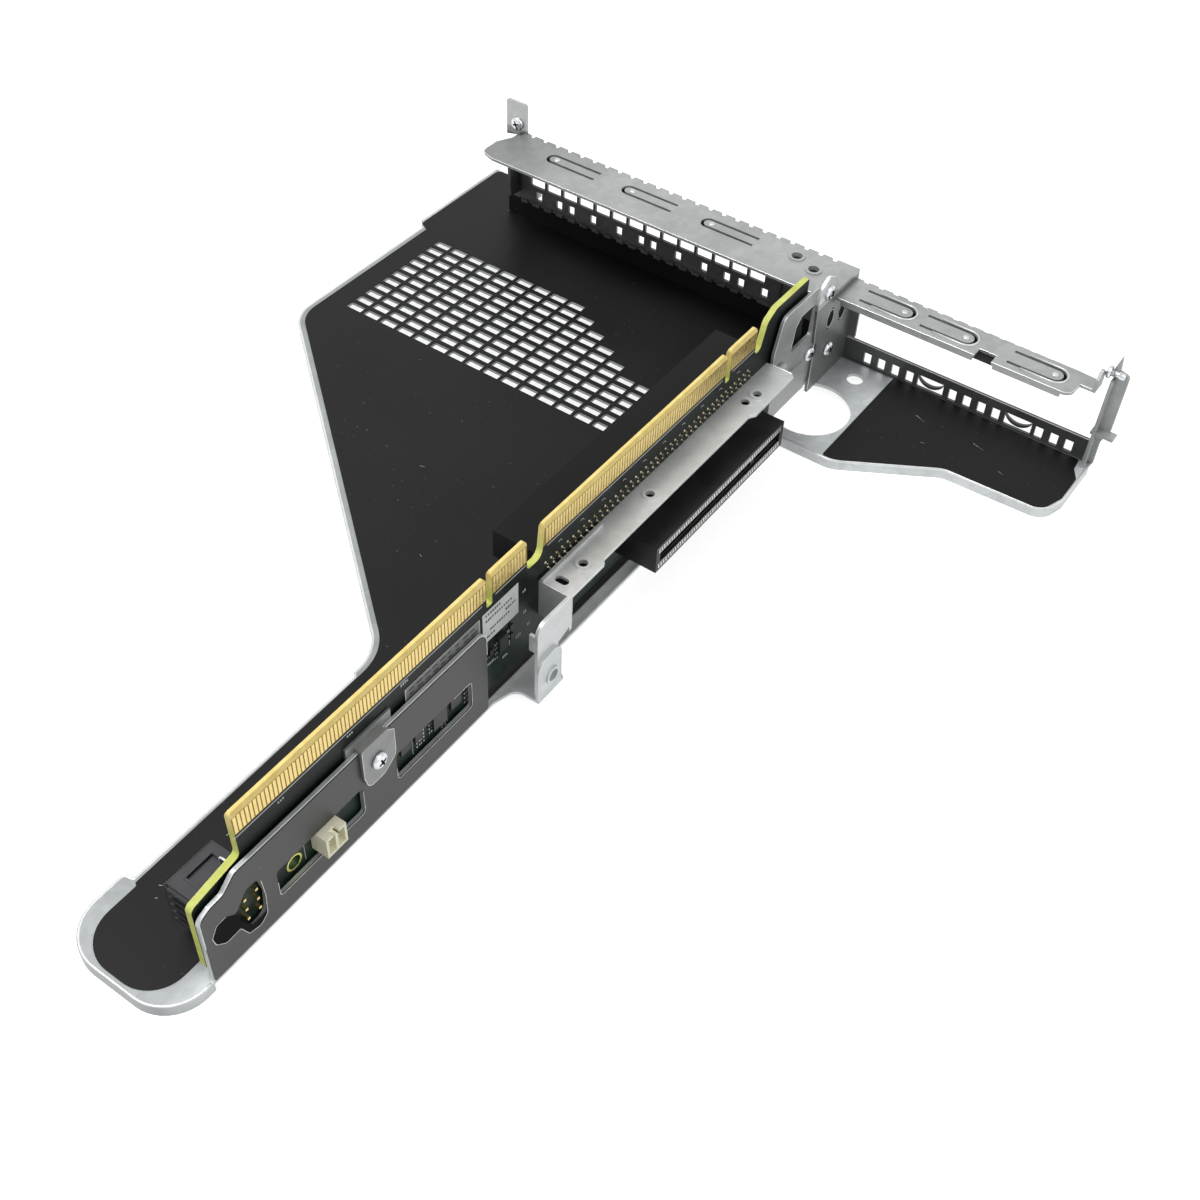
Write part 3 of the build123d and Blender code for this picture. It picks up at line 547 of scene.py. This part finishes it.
# Solder tails of a card slot, on the board face behind it
def solder_tails(name, node, face_x, axis, slot_level):
    bm = bmesh.new()
    end_margin = 1.6
    pitch = 2.0
    rows = (0.6, -1.5)
    scatter = 0.05
    tail = [(0.36, 0.0), (0.32, 0.1), (0.22, 0.24), (0.18, 0.5), (0.14, 0.72), (0.0, 0.8)]
    front, rear = low(node).y + end_margin, high(node).y - end_margin
    for row, rise in enumerate(rows):
        for index in range(int((rear - front) / pitch)):
            y = front + (index + row / 2) * pitch + rng.uniform(-scatter, scatter)
            z = slot_level + rise + rng.uniform(-scatter, scatter)
            add_profile(bm, (face_x, y, z), axis, tail, 8)
    new_piece(name, bm, solder)


solder_tails("left_slot_tails", "left_slot", board_right, rightward, left_slot_level)
solder_tails("right_slot_tails", "right_slot", board_left, leftward, right_slot_level)


# Spring contacts seen as a ladder along each side of a slot's mouth
def slot_ladders(name, node, facing, level):
    bm = bmesh.new()
    end_margin = 1.2
    inner_reach, outer_reach = 1.75, 3.0
    half_rail, half_rung = 0.07, 0.2
    mouth = high(node).x if facing > 0 else low(node).x
    front, rear = low(node).y + end_margin, high(node).y - end_margin
    depth = tuple(sorted((mouth - facing * 0.25, mouth + facing * 0.03)))
    for side in (1, -1):
        inner, outer = level + side * inner_reach, level + side * outer_reach
        for edge in (inner, outer):
            add_box(bm, depth, (front, rear), (edge - half_rail, edge + half_rail))
        # One rung for each contact, 1 mm apart
        for index in range(int(rear - front) + 1):
            y = front + index
            add_box(bm, depth, (y - half_rung, y + half_rung), tuple(sorted((inner, outer))))
    new_piece(name, bm, spring_metal)


slot_ladders("right_slot_contacts", "right_slot", 1, right_slot_level)
slot_ladders("left_slot_contacts", "left_slot", -1, left_slot_level)


# Print on the board: lines along the tongues, arcs beside the tails, dashes and strokes
def print_lines():
    bm = bmesh.new()
    skin = 0.03
    line_level = -6.75
    half_line = 0.13
    for face, outward in ((board_right, 1), (board_left, -1)):
        depth = tuple(sorted((face, face + outward * skin)))
        for front, rear in ((-0.4, 69.9), (74.3, 84.6), (92.0, 161.2), (165.6, 175.9)):
            add_box(bm, depth, (front, rear), (line_level - half_line, line_level + half_line))
    depth = (board_right, board_right + skin)
    # Short arcs beside the tails
    arc_front, arc_pitch, arc_level, arc_radius, half_arc = 96.5, 8.0, -9.6, 0.9, 0.08
    for index in range(10):
        y = arc_front + index * arc_pitch
        arc = [(y + arc_radius * math.cos(a), arc_level + arc_radius * math.sin(a))
               for a in (0.2, 0.7, 1.2, 1.7, 2.2)]
        for (y0, z0), (y1, z1) in zip(arc, arc[1:]):
            outline = [(y0, z0 - half_arc), (y1, z1 - half_arc), (y1, z1 + half_arc), (y0, z0 + half_arc)]
            add_plate(bm, outline, depth, "x")
    # Rows of dashes as (front, level, length, height)
    dash_pitch, dash_length, dash_height = 0.6, 0.34, 0.9
    for y, z, length, height in ((70.8, -26.4, 3.4, 1.3), (70.9, -24.0, 2.2, 0.2), (72.6, -22.6, 4.2, 0.15),
                                 (76.3, -28.6, 1.8, 1.6), (78.6, -26.3, 0.15, 3.0), (81.0, -26.4, 1.8, 1.6),
                                 (83.6, -20.8, 1.6, 1.5), (84.9, -25.6, 1.2, 1.2), (44.6, -8.0, 2.4, 0.9),
                                 (29.2, -8.0, 1.8, 0.8), (10.6, -8.2, 1.8, 0.8), (83.4, -14.2, 1.4, 1.1)):
        for part in range(max(1, int(length / dash_pitch))):
            left = y + part * dash_pitch
            tall = min(height, dash_height) * rng.uniform(0.6, 1.0)
            add_box(bm, depth, (left, left + min(length, dash_length)), (z, z + tall))
    # Strokes at the corner of the header and beside the second window's groups
    for (y0, z0), (y1, z1) in (((14.6, -30.6), (14.6, -22.8)), ((14.6, -22.8), (16.0, -22.8)),
                               ((46.4, -24.6), (46.4, -31.0)), ((57.4, -23.8), (57.4, -31.0))):
        add_box(bm, depth, tuple(sorted((y0 - 0.06, y1 + 0.06))), tuple(sorted((z0, z1 + 0.12))))
    new_piece("board_print_lines", bm, silk)


print_lines()


# Silver label over the wall's top edge, and the plain fields printed on both labels
def label_fields():
    foil, ink = bmesh.new(), bmesh.new()
    skin = 0.02
    add_box(foil, (label_face, label_face + skin), (45.8, 68.7), (-14.3, -10.0))
    for line in range(3):
        for index in range(9):
            left = 46.6 + line * 0.2 + index * 2.4
            add_box(ink, (label_face + skin, label_face + 2 * skin), (left, left + rng.uniform(0.9, 2.0)),
                    (-11.1 - line * 1.25, -10.7 - line * 1.25))
    line_pitch, field_pitch = 1.65, 0.75
    fields = ((70.8, 76.4), (70.8, 79.8), (77.4, 81.2), (72.2, 79.4), (71.0, 74.2))
    for line, (front, rear) in enumerate(fields):
        level = -10.6 - line * line_pitch
        for index in range(int((rear - front) / field_pitch)):
            left = front + index * field_pitch
            add_box(ink, (label_face, label_face + skin), (left, left + rng.uniform(0.3, 0.6)),
                    (level - 0.3, level + 0.25))
    new_piece("silver_label_face", foil, silver_foil)
    new_piece("label_fields", ink, grey_ink)


label_fields()


# Groups of small parts in the second window and beside the white label
def small_parts():
    body, ends = bmesh.new(), bmesh.new()
    body_depth = (board_right, board_right + 0.35)
    end_depth = (board_right, board_right + 0.38)
    # Each group is (front, rear, bottom, top, columns, rows)
    groups = [(47.2, 49.8, -29.8, -25.2, 2, 4), (51.2, 54.0, -29.2, -24.6, 3, 4),
              (55.0, 56.6, -31.0, -24.6, 1, 8), (62.6, 65.0, -30.6, -25.0, 2, 4),
              (73.2, 74.2, -26.4, -20.8, 1, 4), (77.4, 78.3, -25.4, -20.2, 1, 3)]
    for front, rear, bottom, top, columns, rows in groups:
        wide, tall = (rear - front) / columns, (top - bottom) / rows
        for column in range(columns):
            for row in range(rows):
                y, z = front + column * wide, bottom + row * tall
                add_box(body, body_depth, (y + wide * 0.25, y + wide * 0.75),
                        (z + tall * 0.2, z + tall * 0.8))
                for edge in (0.06, 0.72):
                    add_box(ends, end_depth, (y + wide * edge, y + wide * (edge + 0.2)),
                            (z + tall * 0.25, z + tall * 0.75))
    new_piece("small_parts", body, chip_black)
    new_piece("small_part_ends", ends, tin)


small_parts()


# Plated ring and coated sleeve of the board's hole
def plated_hole():
    ring, sleeve = bmesh.new(), bmesh.new()
    centre = (board_right, *board_hole)
    flat = [(1.62, 0.0), (2.05, 0.0), (2.05, 0.06), (1.62, 0.06), (1.62, 0.0)]
    wall = [(1.52, -1.5), (1.59, -1.5), (1.59, 0.0), (1.52, 0.0), (1.52, -1.5)]
    add_profile(ring, centre, rightward, flat, 32)
    add_profile(sleeve, centre, rightward, wall, 32)
    new_piece("hole_sleeve", sleeve, mask_green)
    new_piece("hole_ring", ring, hole_plating)


plated_hole()


# Pan-head screws with a cross recess, drawn as black marks over the crown: painted shade in the recess
def cross_screw(heads, recess_shades, centre, axis):
    head_radius = 2.0
    head = [(2.3, 0.0), (2.38, 0.4), (2.25, 0.85), (1.8, 1.25), (1.1, 1.46), (0.0, 1.52)]
    share = head_radius / max(radius for radius, height in head)
    add_profile(heads, centre, axis, [(radius * share, height * share) for radius, height in head], 32)
    place = axis_matrix(centre, axis)
    # Each arm of the cross is widest and highest in the middle, just over the crown
    half_arm, half_tip, half_middle = 1.25 * share, 0.2, 0.28
    tip_height, middle_height = 1.47 * share, 1.6 * share
    for turn in (20, 110):
        wing = place @ Matrix.Rotation(math.radians(turn), 4, "Z")
        corners = [(-half_arm, half_tip, tip_height), (0.0, half_middle, middle_height),
                   (half_arm, half_tip, tip_height), (half_arm, -half_tip, tip_height),
                   (0.0, -half_middle, middle_height), (-half_arm, -half_tip, tip_height)]
        verts = [recess_shades.verts.new(wing @ Vector(corner)) for corner in corners]
        recess_shades.faces.new((verts[0], verts[1], verts[4], verts[5]))
        recess_shades.faces.new((verts[1], verts[2], verts[3], verts[4]))


def screws():
    heads, recess_shades, post = bmesh.new(), bmesh.new(), bmesh.new()
    seats = [((clip_face, 34.2, -17.9), rightward), ((-109.1, rear_wall_face, -7.0), frontward),
             ((side_plate_face, 203.4, -23.8), rightward), ((centre_wall_face, 208.2, -7.0), rightward),
             ((centre_wall_face, 212.8, -27.4), rightward)]
    for centre, axis in seats:
        cross_screw(heads, recess_shades, centre, axis)
    new_piece("screw_recess_shades", recess_shades, painted_shade_black)
    # Screw of the end post, head and shank
    end_screw = (72.2, 224.0, -8.6)
    end_head = [(1.6, 0.0), (1.7, 0.3), (1.6, 0.8), (1.1, 1.15), (0.0, 1.3)]
    add_profile(post, end_screw, leftward, end_head, 24)
    add_profile(post, end_screw, rightward, [(0.9, 0.0), (0.9, 3.4), (0.0, 3.6)], 16)
    new_piece("end_post_screw", post, zinc, smooth=True)
    piece = new_piece("screw_heads", heads, zinc, smooth=True)
    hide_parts("pan_screws")


screws()


# Pressed dimples at the tips of the springs, and the ridge round each of the strip's springs
def dimples():
    bm = bmesh.new()
    dome = [(1.0, -0.05), (0.85, 0.22), (0.55, 0.4), (0.0, 0.48)]
    ridge_reach, ridge_length = 3.2, 8.0
    for spring in springs:
        x, y, top = spring["dimple"], spring["line"], spring["top"]
        add_profile(bm, (x, y, top), upward, dome, 16)
        if top == strip_top:
            ridge = [(x - ridge_length, y + ridge_reach)]
            ridge += arc_points((x, y), ridge_reach, [90 - 15 * step for step in range(13)])
            ridge += [(x - ridge_length, y - ridge_reach)]
            add_tube(bm, [(a, b, top + 0.05) for a, b in ridge], upward, 0.3, segments=8)
    new_piece("spring_dimples", bm, steel_bright, smooth=True)


dimples()


# Black plates under the rail's holes: painted shade seen through them
def rail_hole_shades():
    bm = bmesh.new()
    half_width = 1.3
    # Each hole is (x, y, half its length across the rail)
    rail_holes = ((3.9, 92.1, 1.9), (4.7, 98.7, 1.3), (3.9, 125.6, 1.3), (3.8, 166.8, 1.3),
                  (4.7, 170.8, 1.3))
    for x, y, reach in rail_holes:
        outline = arc_points((x, y), (reach, half_width), full_turn(20))
        add_plate(bm, outline, (rail_underside - 0.1, rail_underside), "z")
    new_piece("rail_hole_shades", bm, painted_shade_black)


rail_hole_shades()


# Black plates under the gap round each spring: painted shade in the gap
def finger_gap_shades():
    bm = bmesh.new()
    gap = 0.9
    for spring in springs:
        x, y, way = spring["end"], spring["line"], spring["way"]
        tail = x - way * spring["arm"]
        outline = []
        for reach, order in ((spring["radius"], 1), (spring["radius"] - gap, -1)):
            bend = arc_points((x, y), (way * reach, reach), [90 - 180 * step / 14 for step in range(15)])
            outline += ([(tail, y + reach)] + bend + [(tail, y - reach)])[::order]
        add_plate(bm, outline, (spring["top"] - 0.75, spring["top"] - 0.6), "z")
    new_piece("finger_gap_shades", bm, painted_shade_black)


finger_gap_shades()


# Rounded folds of the base: a bright bead in the bend of the turned-down rim, a painted highlight along the
# fold
def rim_highlight_beads():
    bm = bmesh.new()
    bead_radius = 0.38
    level = floor_level - 0.3
    left_run = [(-129.4, 240.3, 0), (-129.4, 204.6, 0), (-127.1, 202.8, 0.5), (-127.1, 147.7, 12),
                (-27.9, 66.9, 14), (-27.9, 59.6, 0.5), (-27.0, 58.6, 0.3), (-27.0, -5.8, 0.3),
                (-29.3, -6.4, 0.5), (-29.3, -23.5, 10.2), (1.0, -23.5, 9.2), (1.0, -13.0, 0)]
    right_run = [(3.2, 185.1, 0), (20.8, 185.1, 8), (45.4, 199.7, 6), (72.3, 200.7, 5), (74.3, 207.6, 3),
                 (74.3, 224.6, 0)]
    for run in (left_run, right_run):
        line = [(p.x, p.y, level) for p in rounded_run(run, steps=10)]
        add_tube(bm, line, upward, bead_radius, segments=10)
    new_piece("rim_highlight_beads", bm, highlight_steel, smooth=True)


rim_highlight_beads()


# Painted glints along the front wall's openings, and a black patch for the keyhole's lower lobe: painted
# shade in the hole
def wall_edges():
    glints, lobe_shade = bmesh.new(), bmesh.new()
    front_window = [(5.9, -26.5, 0), (5.9, -31.2, 1.0), (30.0, -31.2, 1.0), (30.0, -24.3, 0)]
    rear_window = [(39.9, -27.5, 0), (39.9, -31.2, 1.0), (63.8, -31.2, 1.0), (63.8, -23.3, 1.0),
                   (58.0, -23.3, 0)]
    keyhole = [(-6.9, -21.9, 0), (-9.2, -22.0, 0.6), (-10.75, -24.5, 1.2), (-10.2, -27.1, 1.5),
               (-8.0, -29.3, 1.5), (-4.4, -29.1, 0.8), (-2.8, -32.9, 1.0), (0.2, -33.8, 1.5),
               (2.2, -32.1, 1.5), (2.6, -26.5, 1.5),
               (2.2, -21.4, 0)]
    for run in (front_window, rear_window, keyhole):
        add_tube(glints, [(wall_face, p.x, p.y) for p in rounded_run(run)], rightward, 0.09)
    new_piece("wall_edge_glints", glints, tin)
    left_part = [(-9.2, -22.0, 0.6), (-10.75, -24.5, 1.2), (-10.2, -27.1, 1.5), (-8.0, -29.3, 1.5),
                 (-4.4, -29.1, 0.6), (-3.9, -26.0, 0), (-4.75, -23.9, 0), (-6.9, -21.9, 1.0)]
    belly = [(-4.4, -29.1, 0), (-2.8, -32.9, 1.0), (0.2, -33.8, 1.5), (2.2, -32.1, 0.4), (1.9, -31.4, 0),
             (-1.6, -31.4, 0), (-4.0, -27.0, 0)]
    for part in (left_part, belly):
        outline = [tuple(p) for p in rounded_run(part, closed=True)]
        add_plate(lobe_shade, outline, (wall_face, wall_face + 0.015), "x")
    new_piece("keyhole_lobe_shade", lobe_shade, painted_shade_black)


wall_edges()


# Bright tubes along the sheet metal's edges: painted highlights
def painted_edge_highlights():
    bm, hole_shades = bmesh.new(), bmesh.new()
    level_radius, face_radius, wall_radius, rim_radius = 0.1, 0.09, 0.11, 0.12
    flange_front = [(-109.6, 209.6, 0), (-106.0, 208.5, 0), (0.6, 208.5, 0), (0.6, 210.8, 0)]
    strip_front = [(2.3, 214.0, 0), (41.0, 214.0, 0), (41.0, 217.2, 0), (45.7, 217.2, 0), (45.7, 214.0, 0),
                   (66.6, 214.0, 2.5), (67.0, 219.4, 0), (70.0, 219.4, 0)]
    rail_outer = [(0.4, 89.0, 0), (8.3, 89.0, 0), (8.3, 101.5, 0), (7.3, 102.8, 0), (7.3, 163.0, 0),
                  (8.3, 164.6, 0), (8.3, 182.0, 0), (7.1, 183.2, 0), (1.0, 183.2, 0)]
    tray_hole = [(x, y, 0) for x, y in arc_points((6.3, 199.5), 10.8, [10 * step - 75 for step in range(20)])]
    for level, run in ((flange_top, flange_front), (strip_top, strip_front), (rail_top, rail_outer),
                       (floor_level, tray_hole)):
        add_tube(bm, [(p.x, p.y, level) for p in rounded_run(run)], upward, level_radius)
    strap_top = [(78.6, -23.0, 0), (77.7, -22.0, 0), (77.7, -15.0, 3.0), (89.6, -15.0, 0)]
    strap_rear = [(89.8, -15.4, 0), (89.8, -23.6, 0), (85.1, -25.2, 0)]
    tab = [(77.0, -36.8, 0), (77.0, -25.4, 3.5), (85.2, -25.0, 2.5), (85.2, -36.8, 0)]
    side_plate = [(184.0, -17.0, 0), (184.0, -12.6, 0), (187.0, -3.2, 3.0), (203.6, -3.6, 0)]
    side_window = [(192.6, -17.2, 0.8), (193.9, -10.0, 0.8), (196.2, -8.0, 1.0), (203.2, -8.0, 0)]
    centre_wall = [(204.9, -36.6, 0), (204.9, -26.0, 0), (203.4, -8.6, 0), (204.4, -4.2, 1.5),
                   (208.0, -2.2, 1.5), (211.9, -4.6, 1.5), (213.6, -9.0, 0)]
    clip = [(30.1, -12.0, 0), (30.1, -19.8, 0), (31.0, -23.6, 2.0), (35.6, -23.6, 2.2), (39.2, -21.0, 2.5),
            (39.2, -13.4, 0), (37.4, -12.0, 0)]
    for face, run in ((strap_face, strap_top), (strap_face, strap_rear), (tab_face, tab),
                      (side_plate_face, side_plate), (side_plate_face, side_window),
                      (centre_wall_face, centre_wall), (clip_face, clip)):
        add_tube(bm, [(face, p.x, p.y) for p in rounded_run(run)], rightward, face_radius)
    add_tube(bm, [(x, rear_wall_face, rear_wall_top) for x in (2.4, 72.7)], rearward, level_radius)
    front_wall_top = [(-12.3, -26.0, 0), (-12.3, -17.1, 2.0), (-9.5, -15.9, 2.0), (-6.3, -15.7, 2.0),
                      (-2.9, -12.7, 2.0), (69.4, -12.7, 2.5), (69.4, -20.0, 0)]
    wall_sheet_face = 1.36
    add_tube(bm, [(wall_sheet_face, p.x, p.y) for p in rounded_run(front_wall_top)], rightward, wall_radius)
    # Black plates in the two holes in the centre wall, painted shade, with painted highlights round them
    for hole in centre_wall_holes:
        oval = arc_points(hole, (1.75, 2.7), full_turn(28))
        add_plate(hole_shades, oval, (centre_wall_face, centre_wall_face + 0.02), "x")
        rim = [(centre_wall_face + 0.02, a, b) for a, b in oval]
        add_tube(bm, rim, rightward, rim_radius, closed=True)
    new_piece("wall_hole_shades", hole_shades, painted_shade_black)
    new_piece("painted_edge_highlights", bm, highlight_steel)


painted_edge_highlights()


# Film turned up under the slot cover's lip
def film_flap():
    bm = bmesh.new()
    front = low("slot_cover").y + 1.7
    add_box(bm, (-112.3, 0.4), (front - 0.2, front), (floor_level + 0.2, low("slot_cover").z - 0.1))
    new_piece("film_flap", bm, film)


film_flap()


# Wire spring on the board beside the power header
def header_wire():
    bm = bmesh.new()
    wire_y = -1.4
    run = [(-1.5, -14.0, 0), (-3.9, -14.0, 1.0), (-4.1, -20.4, 0)]
    add_tube(bm, [(p.x, wire_y, p.y) for p in rounded_run(run)], rearward, 0.24, segments=8)
    new_piece("header_wire", bm, zinc, smooth=True)


header_wire()


# Lighter edges of the power header's frame: painted highlights
def header_edge_highlights():
    bm = bmesh.new()
    inset = 0.1
    radius = 0.1
    left, front, bottom = low("power_header")
    right, rear, top = high("power_header")
    frame_loop = (left, right - 0.2, front, rear)
    window_loop = (left + 2.0, right - 2.2, front + 3.0, 1.0)
    for x0, x1, y0, y1 in (frame_loop, window_loop):
        loop = [(x0 + inset, y0 + inset), (x1 - inset, y0 + inset),
                (x1 - inset, y1 - inset), (x0 + inset, y1 - inset)]
        add_tube(bm, [(x, y, top) for x, y in loop], upward, radius, closed=True)
    for x in (left + 0.1, right - 0.3):
        add_tube(bm, [(x, front + 0.05, top), (x, front + 0.05, bottom)], rearward, radius)
    new_piece("header_edge_highlights", bm, header_edge_highlight)


header_edge_highlights()


# Black pad behind the notch in the spring strip
def notch_pad():
    bm = bmesh.new()
    add_box(bm, (39.4, 46.2), (214.3, 217.9), (-13.3, -12.85), bevel=0.1)
    new_piece("notch_pad", bm, film)


notch_pad()


# Light handling marks on the films
def film_marks():
    bm = bmesh.new()
    # Each stroke is (x, y, length, slope)
    strokes = [(-22.0, -4.0, 0.9, 0.5), (-20.5, -6.5, 0.6, 0.9), (-60.0, 120.0, 1.4, 0.3),
               (-40.0, 96.0, 1.0, -0.4), (30.0, 214.0, 3.2, -0.35), (47.0, 213.0, 3.6, -0.3),
               (57.0, 207.0, 1.6, -0.4),
               (36.0, 205.0, 1.2, 0.2), (-90.0, 190.0, 1.0, 0.6), (-18.0, 40.0, 0.7, 0.8)]
    half_width = 0.06
    end_share = 0.2
    for x, y, length, slope in strokes:
        along = Vector((1.0, slope)).normalized() * length
        side = Vector((-along.y, along.x)).normalized() * half_width
        start = Vector((x, y))
        end = start + along
        outline = [start - side, end - side * end_share, end + side * end_share, start + side]
        add_plate(bm, [(p.x, p.y) for p in outline], (film_level, film_level + 0.01), "z")
    new_piece("film_marks", bm, tin)


film_marks()


# Floor, world and lamps
def background_share(tree):
    """1 for a ray from the camera, off a glossy face or through glass, 0 for any other."""
    path = tree.nodes.new("ShaderNodeLightPath")
    seen = maths(tree, "MAXIMUM", path.outputs["Is Camera Ray"], path.outputs["Is Glossy Ray"])
    return maths(tree, "MAXIMUM", seen, path.outputs["Is Transmission Ray"])


def make_floor():
    size = 6.0
    tone = 0.5
    glow_strength = 0.8
    level = cad_box[0].z
    mesh = bpy.data.meshes.new("floor")
    corners = [(-size, -size, level), (size, -size, level), (size, size, level), (-size, size, level)]
    mesh.from_pydata(corners, [], [(0, 1, 2, 3)])
    floor = bpy.data.objects.new("floor", mesh)
    bpy.context.scene.collection.objects.link(floor)
    mat, tree, shader = new_material("pale floor")
    shader.inputs["Base Color"].default_value = (*grey(tone), 1)
    shader.inputs["Roughness"].default_value = 0.9
    shader.inputs["Specular IOR Level"].default_value = 0.0
    glow = tree.nodes.new("ShaderNodeEmission")
    tree.links.new(maths(tree, "MULTIPLY", background_share(tree), glow_strength), glow.inputs["Strength"])
    both = tree.nodes.new("ShaderNodeAddShader")
    tree.links.new(shader.outputs["BSDF"], both.inputs[0])
    tree.links.new(glow.outputs["Emission"], both.inputs[1])
    tree.links.new(both.outputs["Shader"], tree.nodes["Material Output"].inputs["Surface"])
    mesh.materials.append(mat)


def make_world():
    light_strength = 0.42
    world = bpy.data.worlds.new("studio")
    bpy.context.scene.world = world
    world.use_nodes = True
    tree = world.node_tree
    background = tree.nodes["Background"]
    background.inputs["Color"].default_value = (1, 1, 1, 1)
    strength = span(tree, background_share(tree), 0, 1, light_strength, 1.0)
    tree.links.new(strength, background.inputs["Strength"])


def add_lamp(name, place, target, size, power):
    """Area lamp; places and size are in metres, power in watts."""
    lamp = bpy.data.lights.new(name, "AREA")
    lamp.size = size
    lamp.energy = power
    holder = bpy.data.objects.new(name, lamp)
    bpy.context.scene.collection.objects.link(holder)
    holder.location = place
    direction = Vector(target) - Vector(place)
    holder.rotation_euler = direction.to_track_quat("-Z", "Y").to_euler()


make_floor()
make_world()
middle = (cad_box[0] + cad_box[1]) / 2
add_lamp("key lamp", (-0.3, -0.15, 0.95), middle, size=0.5, power=7.5)
add_lamp("fill lamp", (0.8, 0.1, 0.55), middle, size=0.6, power=2.6)
